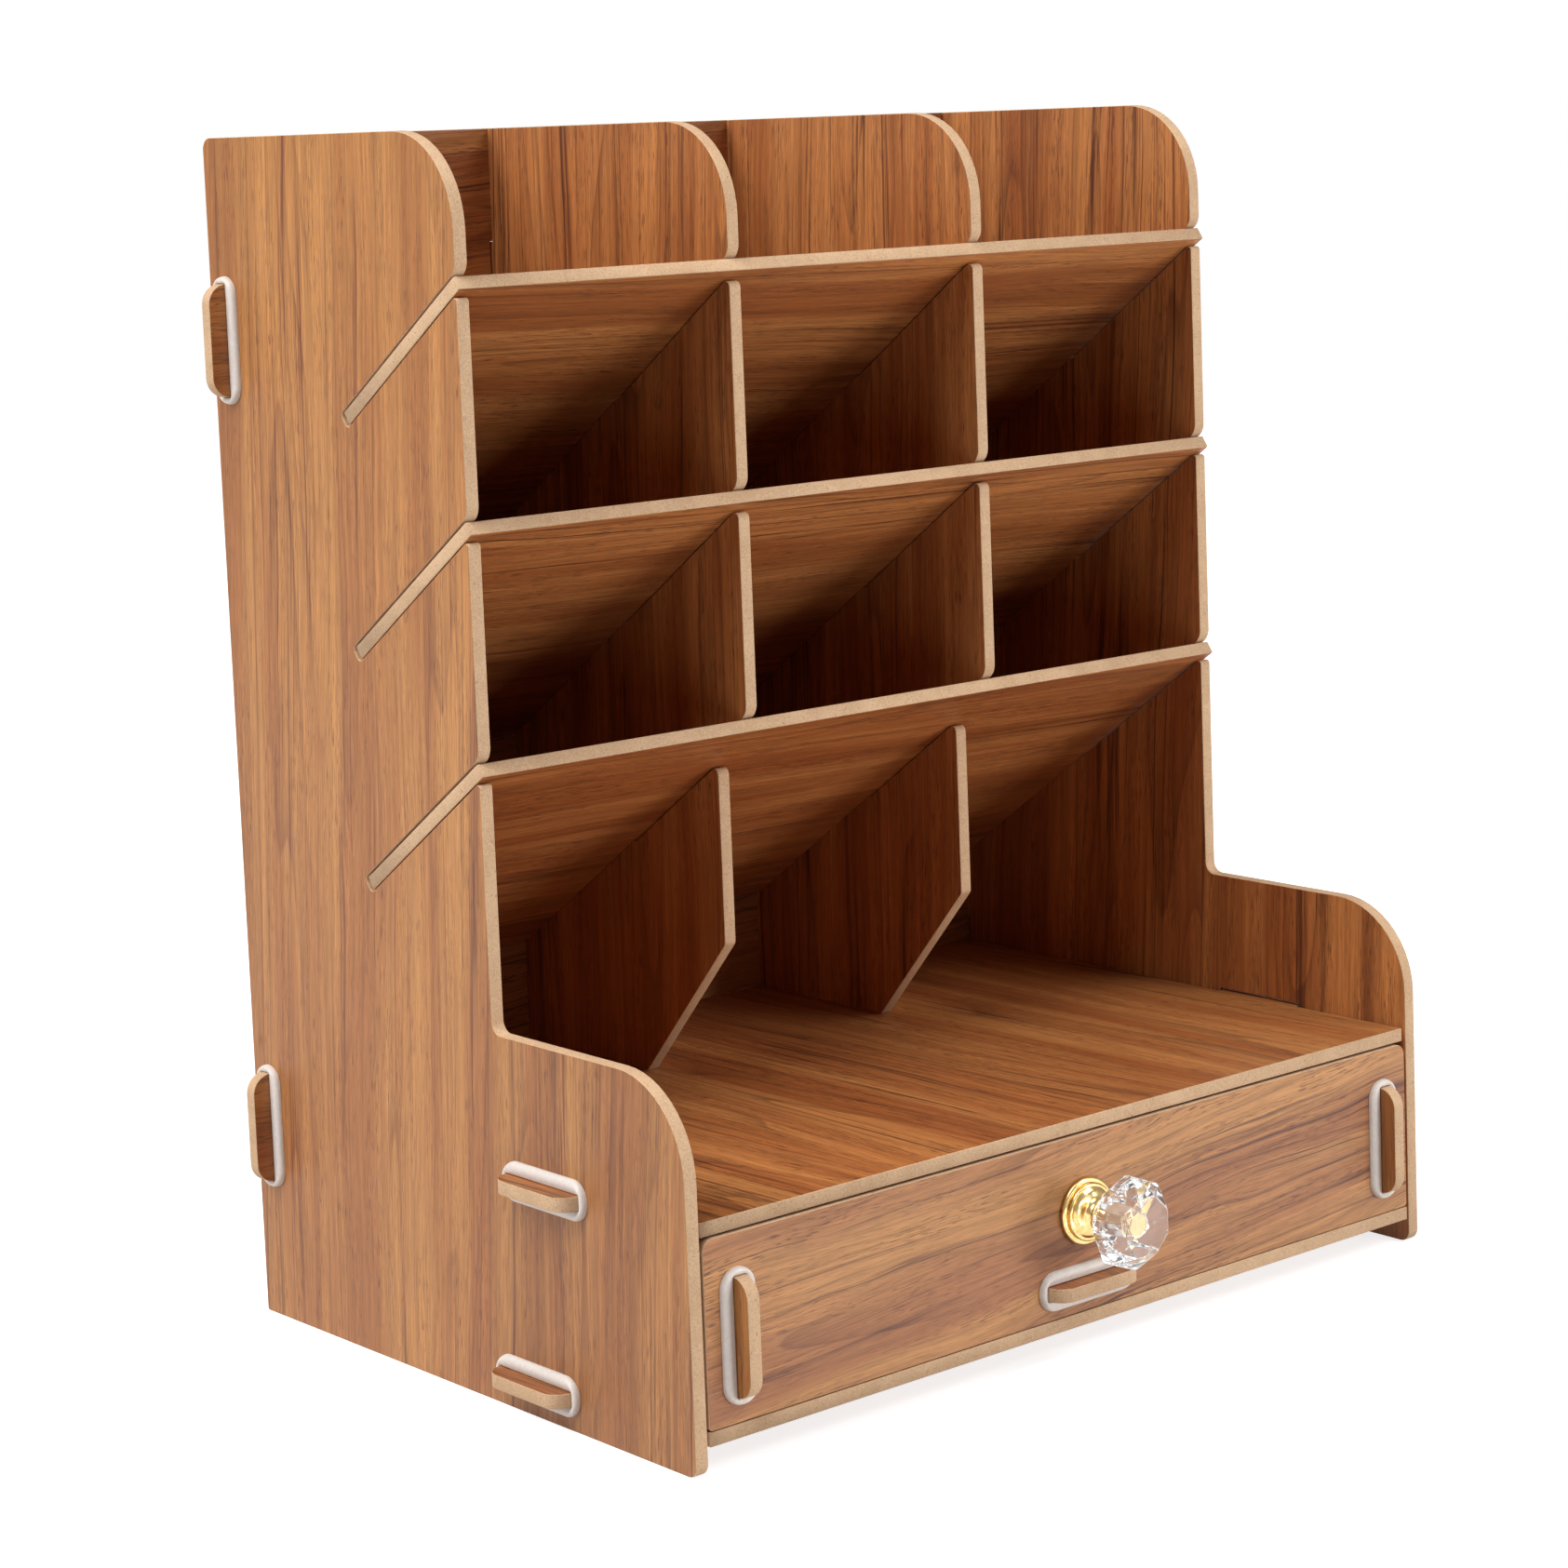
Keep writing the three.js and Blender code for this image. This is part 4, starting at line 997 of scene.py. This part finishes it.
def turned(name, profile, finish):
    """A surface of revolution: point (r, d) at angle t lies at (r sin t, -d, r cos t) from the axis."""
    profile = np.asarray(profile, float)
    angle = np.linspace(0, 2 * np.pi, TURN_STEPS, endpoint=False)
    radius, depth = profile[1:-1, 0], profile[1:-1, 1]
    x = radius[:, None] * np.sin(angle)
    z = radius[:, None] * np.cos(angle)
    y = np.broadcast_to(-depth[:, None], x.shape)
    points = np.stack([x, y, z], axis=2).reshape(-1, 3)
    poles = np.array([[0, -profile[0, 1], 0], [0, -profile[-1, 1], 0]])
    rows, here = np.meshgrid(np.arange(len(radius) - 1), np.arange(TURN_STEPS), indexing="ij")
    after = (here + 1) % TURN_STEPS
    low, high = rows * TURN_STEPS, (rows + 1) * TURN_STEPS
    quads = np.stack([low + here, high + here, high + after, low + after], axis=2).reshape(-1, 4)
    ring = np.arange(TURN_STEPS)
    following = (ring + 1) % TURN_STEPS
    first_pole, last_pole = len(points), len(points) + 1
    last_ring = (len(radius) - 1) * TURN_STEPS
    caps = np.concatenate([
        np.stack([np.full_like(ring, first_pole), ring, following], axis=1),
        np.stack([last_ring + following, last_ring + ring, np.full_like(ring, last_pole)], axis=1),
    ])
    world = np.vstack([points, poles]) + KNOB_PLACE
    mesh = mesh_from(name, world * MM, quads, caps)
    mesh.set_sharp_from_angle(angle=np.radians(40))
    add_piece(name, mesh, finish)


PEG_DEPTH = 15.8
foot_profile = np.vstack([
    [(0, 7.8), (1.7, 7.8), (1.7, 0.1)],
    bead(8.4, 0.1, 1.5, 0.6),
    bead(7.2, 1.5, 2.6, 0.5),
    smooth_through([(6.3, 2.6), (5.4, 3.3), (3.6, 4.0), (2.8, 5.2), (3.2, 6.1)], 18),
    bead(4.3, 6.3, 7.6, 0.5),
    [(2.9, 7.6), (2.9, PEG_DEPTH - 0.3), (2.6, PEG_DEPTH), (0, PEG_DEPTH)],
])
turned("knob_base", foot_profile, gold_finish)
screw_profile = np.vstack([
    [(0, -5.6), (2.4, -5.6)],
    smooth_through([(2.9, -5.6), (3.4, -5.25), (3.6, -4.9)], 7),
    [(3.6, -3.6), (1.5, -3.6), (1.5, 6.8), (0, 6.8)],
])
turned("knob_screw", screw_profile, gold_finish)
print("foot and screw:", box_errors["knob_base"], box_errors["knob_screw"])

# %% [markdown]
# ## The cut crystal
#
# The crystal has eight corners at its widest part. Its front table has eight corners too, turned
# by half a step, so the crown is a ring of triangles that point in and out by turns. That is what
# makes such a knob sparkle. The facets stay flat, and a small bevel softens the edges where they
# meet, as polishing does.


# %% Cut the crystal
def crystal_ring(radius, depth, turned_by):
    """Eight corners of a facet ring, turned by a share of one step."""
    angle = (np.arange(8) + turned_by) * np.pi / 4
    return np.stack([radius * np.sin(angle), np.full(8, -depth), radius * np.cos(angle)], axis=1)


def band(lower, upper, turned_ring):
    """Faces between two facet rings: plain four-sided ones, or triangles where one ring is turned."""
    here, after = np.arange(8), (np.arange(8) + 1) % 8
    if not turned_ring:
        return np.stack([lower + here, upper + here, upper + after, lower + after], axis=1).tolist()
    inward = np.stack([lower + here, upper + here, lower + after], axis=1).tolist()
    outward = np.stack([lower + after, upper + here, upper + after], axis=1).tolist()
    return inward + outward


PEG_PLAY, CRYSTAL_BACK, GIRDLE = 0.15, 7.9, 11.6
BORE = 3.05 / np.cos(np.pi / 8)
crystal_rings = [
    crystal_ring(BORE, PEG_DEPTH + PEG_PLAY, 0),
    crystal_ring(BORE, CRYSTAL_BACK, 0),
    crystal_ring(5.4, CRYSTAL_BACK, 0.5),
    crystal_ring(GIRDLE, 14.4, 0),
    crystal_ring(GIRDLE, 17.0, 0),
    crystal_ring(7.6, 21.3, 0.5),
]
crystal_faces = [list(range(8)), *band(0, 8, False), *band(8, 16, True), *band(16, 24, True)]
crystal_faces += [*band(24, 32, False), *band(32, 40, True), list(range(40, 48))[::-1]]
crystal_points = np.vstack(crystal_rings) + KNOB_PLACE
crystal_mesh = bpy.data.meshes.new("knob_crystal")
crystal_mesh.from_pydata((crystal_points * MM).tolist(), [], crystal_faces)
print("crystal faces:", len(crystal_mesh.polygons))

# %% Finish the crystal
shape = bmesh.new()
shape.from_mesh(crystal_mesh)
bmesh.ops.recalc_face_normals(shape, faces=shape.faces)
print("crystal volume", round(shape.calc_volume() * 1e9, 1), "cubic millimetres")
shape.to_mesh(crystal_mesh)
shape.free()
crystal = add_piece("knob_crystal", crystal_mesh, crystal_finish)
bevel = crystal.modifiers.new("facet edges", "BEVEL")
bevel.width = 0.35 * MM
bevel.segments = 4
bevel.limit_method = "ANGLE"
bevel.angle_limit = np.radians(12)

# %% [markdown]
# ## Floor, light and background
#
# The object stands on a plain pale floor in soft studio light. Two large lamps stand on the left, a
# little behind the object, so that the outer side is bright and the compartments stay dark. A
# smaller one, high on the left and nearer the front, lifts the shelves' front edges. One is
# overhead, and two at the front right light the front. Looked at directly, floor and background
# are plain white, while the floor still takes the object's soft shadow. The background is dimmer
# in reflections than to the eye, so that metal and crystal keep some contrast.

# %% Floor
FLOOR_HALF = 3.0
floor_mesh = bpy.data.meshes.new("floor")
floor_corners = np.array([[-1, -1, 0], [1, -1, 0], [1, 1, 0], [-1, 1, 0]]) * FLOOR_HALF
floor_mesh.from_pydata(floor_corners.tolist(), [], [[0, 1, 2, 3]])
floor = bpy.data.objects.new("floor", floor_mesh)
bpy.context.scene.collection.objects.link(floor)

floor_finish, wire, shader = new_material("white_floor")
shader.inputs["Base Color"].default_value = (0.65, 0.65, 0.65, 1)
shader.inputs["Roughness"].default_value = 0.9
shader.inputs["Specular IOR Level"].default_value = 0.1
rays = wire.node("ShaderNodeLightPath").outputs
seen = wire.math("MAXIMUM", rays["Is Camera Ray"], rays["Is Glossy Ray"])
seen = wire.math("MAXIMUM", seen, rays["Is Transmission Ray"])
away = wire.node("ShaderNodeVectorMath", {0: wire.place()}, operation="LENGTH").outputs["Value"]
whiten = wire.steps(away, 0.35, 0.9, 0.78, 1.0)
glow = wire.node("ShaderNodeEmission", {"Color": (1, 1, 1, 1), "Strength": wire.math("MULTIPLY", seen, whiten)})
both = wire.node("ShaderNodeAddShader", {0: shader.outputs[0], 1: glow.outputs[0]})
wire.link(both.outputs[0], wire.tree.nodes["Material Output"].inputs["Surface"])
floor_mesh.materials.append(floor_finish)

# %% World
world = bpy.data.worlds.new("studio")
bpy.context.scene.world = world
world.use_nodes = True
wire = Wiring(world.node_tree)
rays = wire.node("ShaderNodeLightPath").outputs
seen = wire.math("MAXIMUM", rays["Is Camera Ray"], wire.math("MULTIPLY", rays["Is Glossy Ray"], 0.45))
seen = wire.math("MAXIMUM", seen, wire.math("MULTIPLY", rays["Is Transmission Ray"], 0.8))
strength = wire.math("ADD", wire.math("MULTIPLY", seen, 0.98), 0.02)
background = world.node_tree.nodes["Background"]
background.inputs["Color"].default_value = (1, 1, 1, 1)
wire.link(strength, background.inputs["Strength"])
print("world ready")


# %% Lamps
def add_lamp(name, place, width, height, watts):
    """A soft rectangular lamp that faces the object's middle."""
    data = bpy.data.lights.new(name, "AREA")
    data.shape = "RECTANGLE"
    data.size, data.size_y, data.energy = width, height, watts
    lamp = bpy.data.objects.new(name, data)
    bpy.context.scene.collection.objects.link(lamp)
    lamp.location = place
    lamp.rotation_euler = (MIDDLE - Vector(place)).to_track_quat("-Z", "Y").to_euler()


MIDDLE = Vector((0, 0, 0.15))
add_lamp("left_lamp", (-2.0, 0.5, 1.0), 1.0, 1.0, 14.5)
add_lamp("left_high_lamp", (-1.4, 0.6, 1.8), 1.0, 1.0, 25)
add_lamp("top_lamp", (-0.6, -0.2, 2.2), 1.0, 1.0, 16)
add_lamp("right_high_lamp", (0.9, -1.45, 1.65), 1.0, 1.0, 19)
add_lamp("right_low_lamp", (1.0, -1.8, 0.25), 1.0, 0.5, 20)
add_lamp("left_near_lamp", (-1.1, -0.3, 1.9), 0.8, 0.8, 13)

# %% [markdown]
# ## Last steps
#
# The view transform is plain, so a colour renders about as it is written. The largest difference
# between a piece's box and its measured piece's box is printed, so that a change of size shows.

# %% Finish
bpy.context.scene.view_settings.view_transform = "Standard"
print("largest box difference of a piece:", round(max(box_errors.values()), 3), "mm")
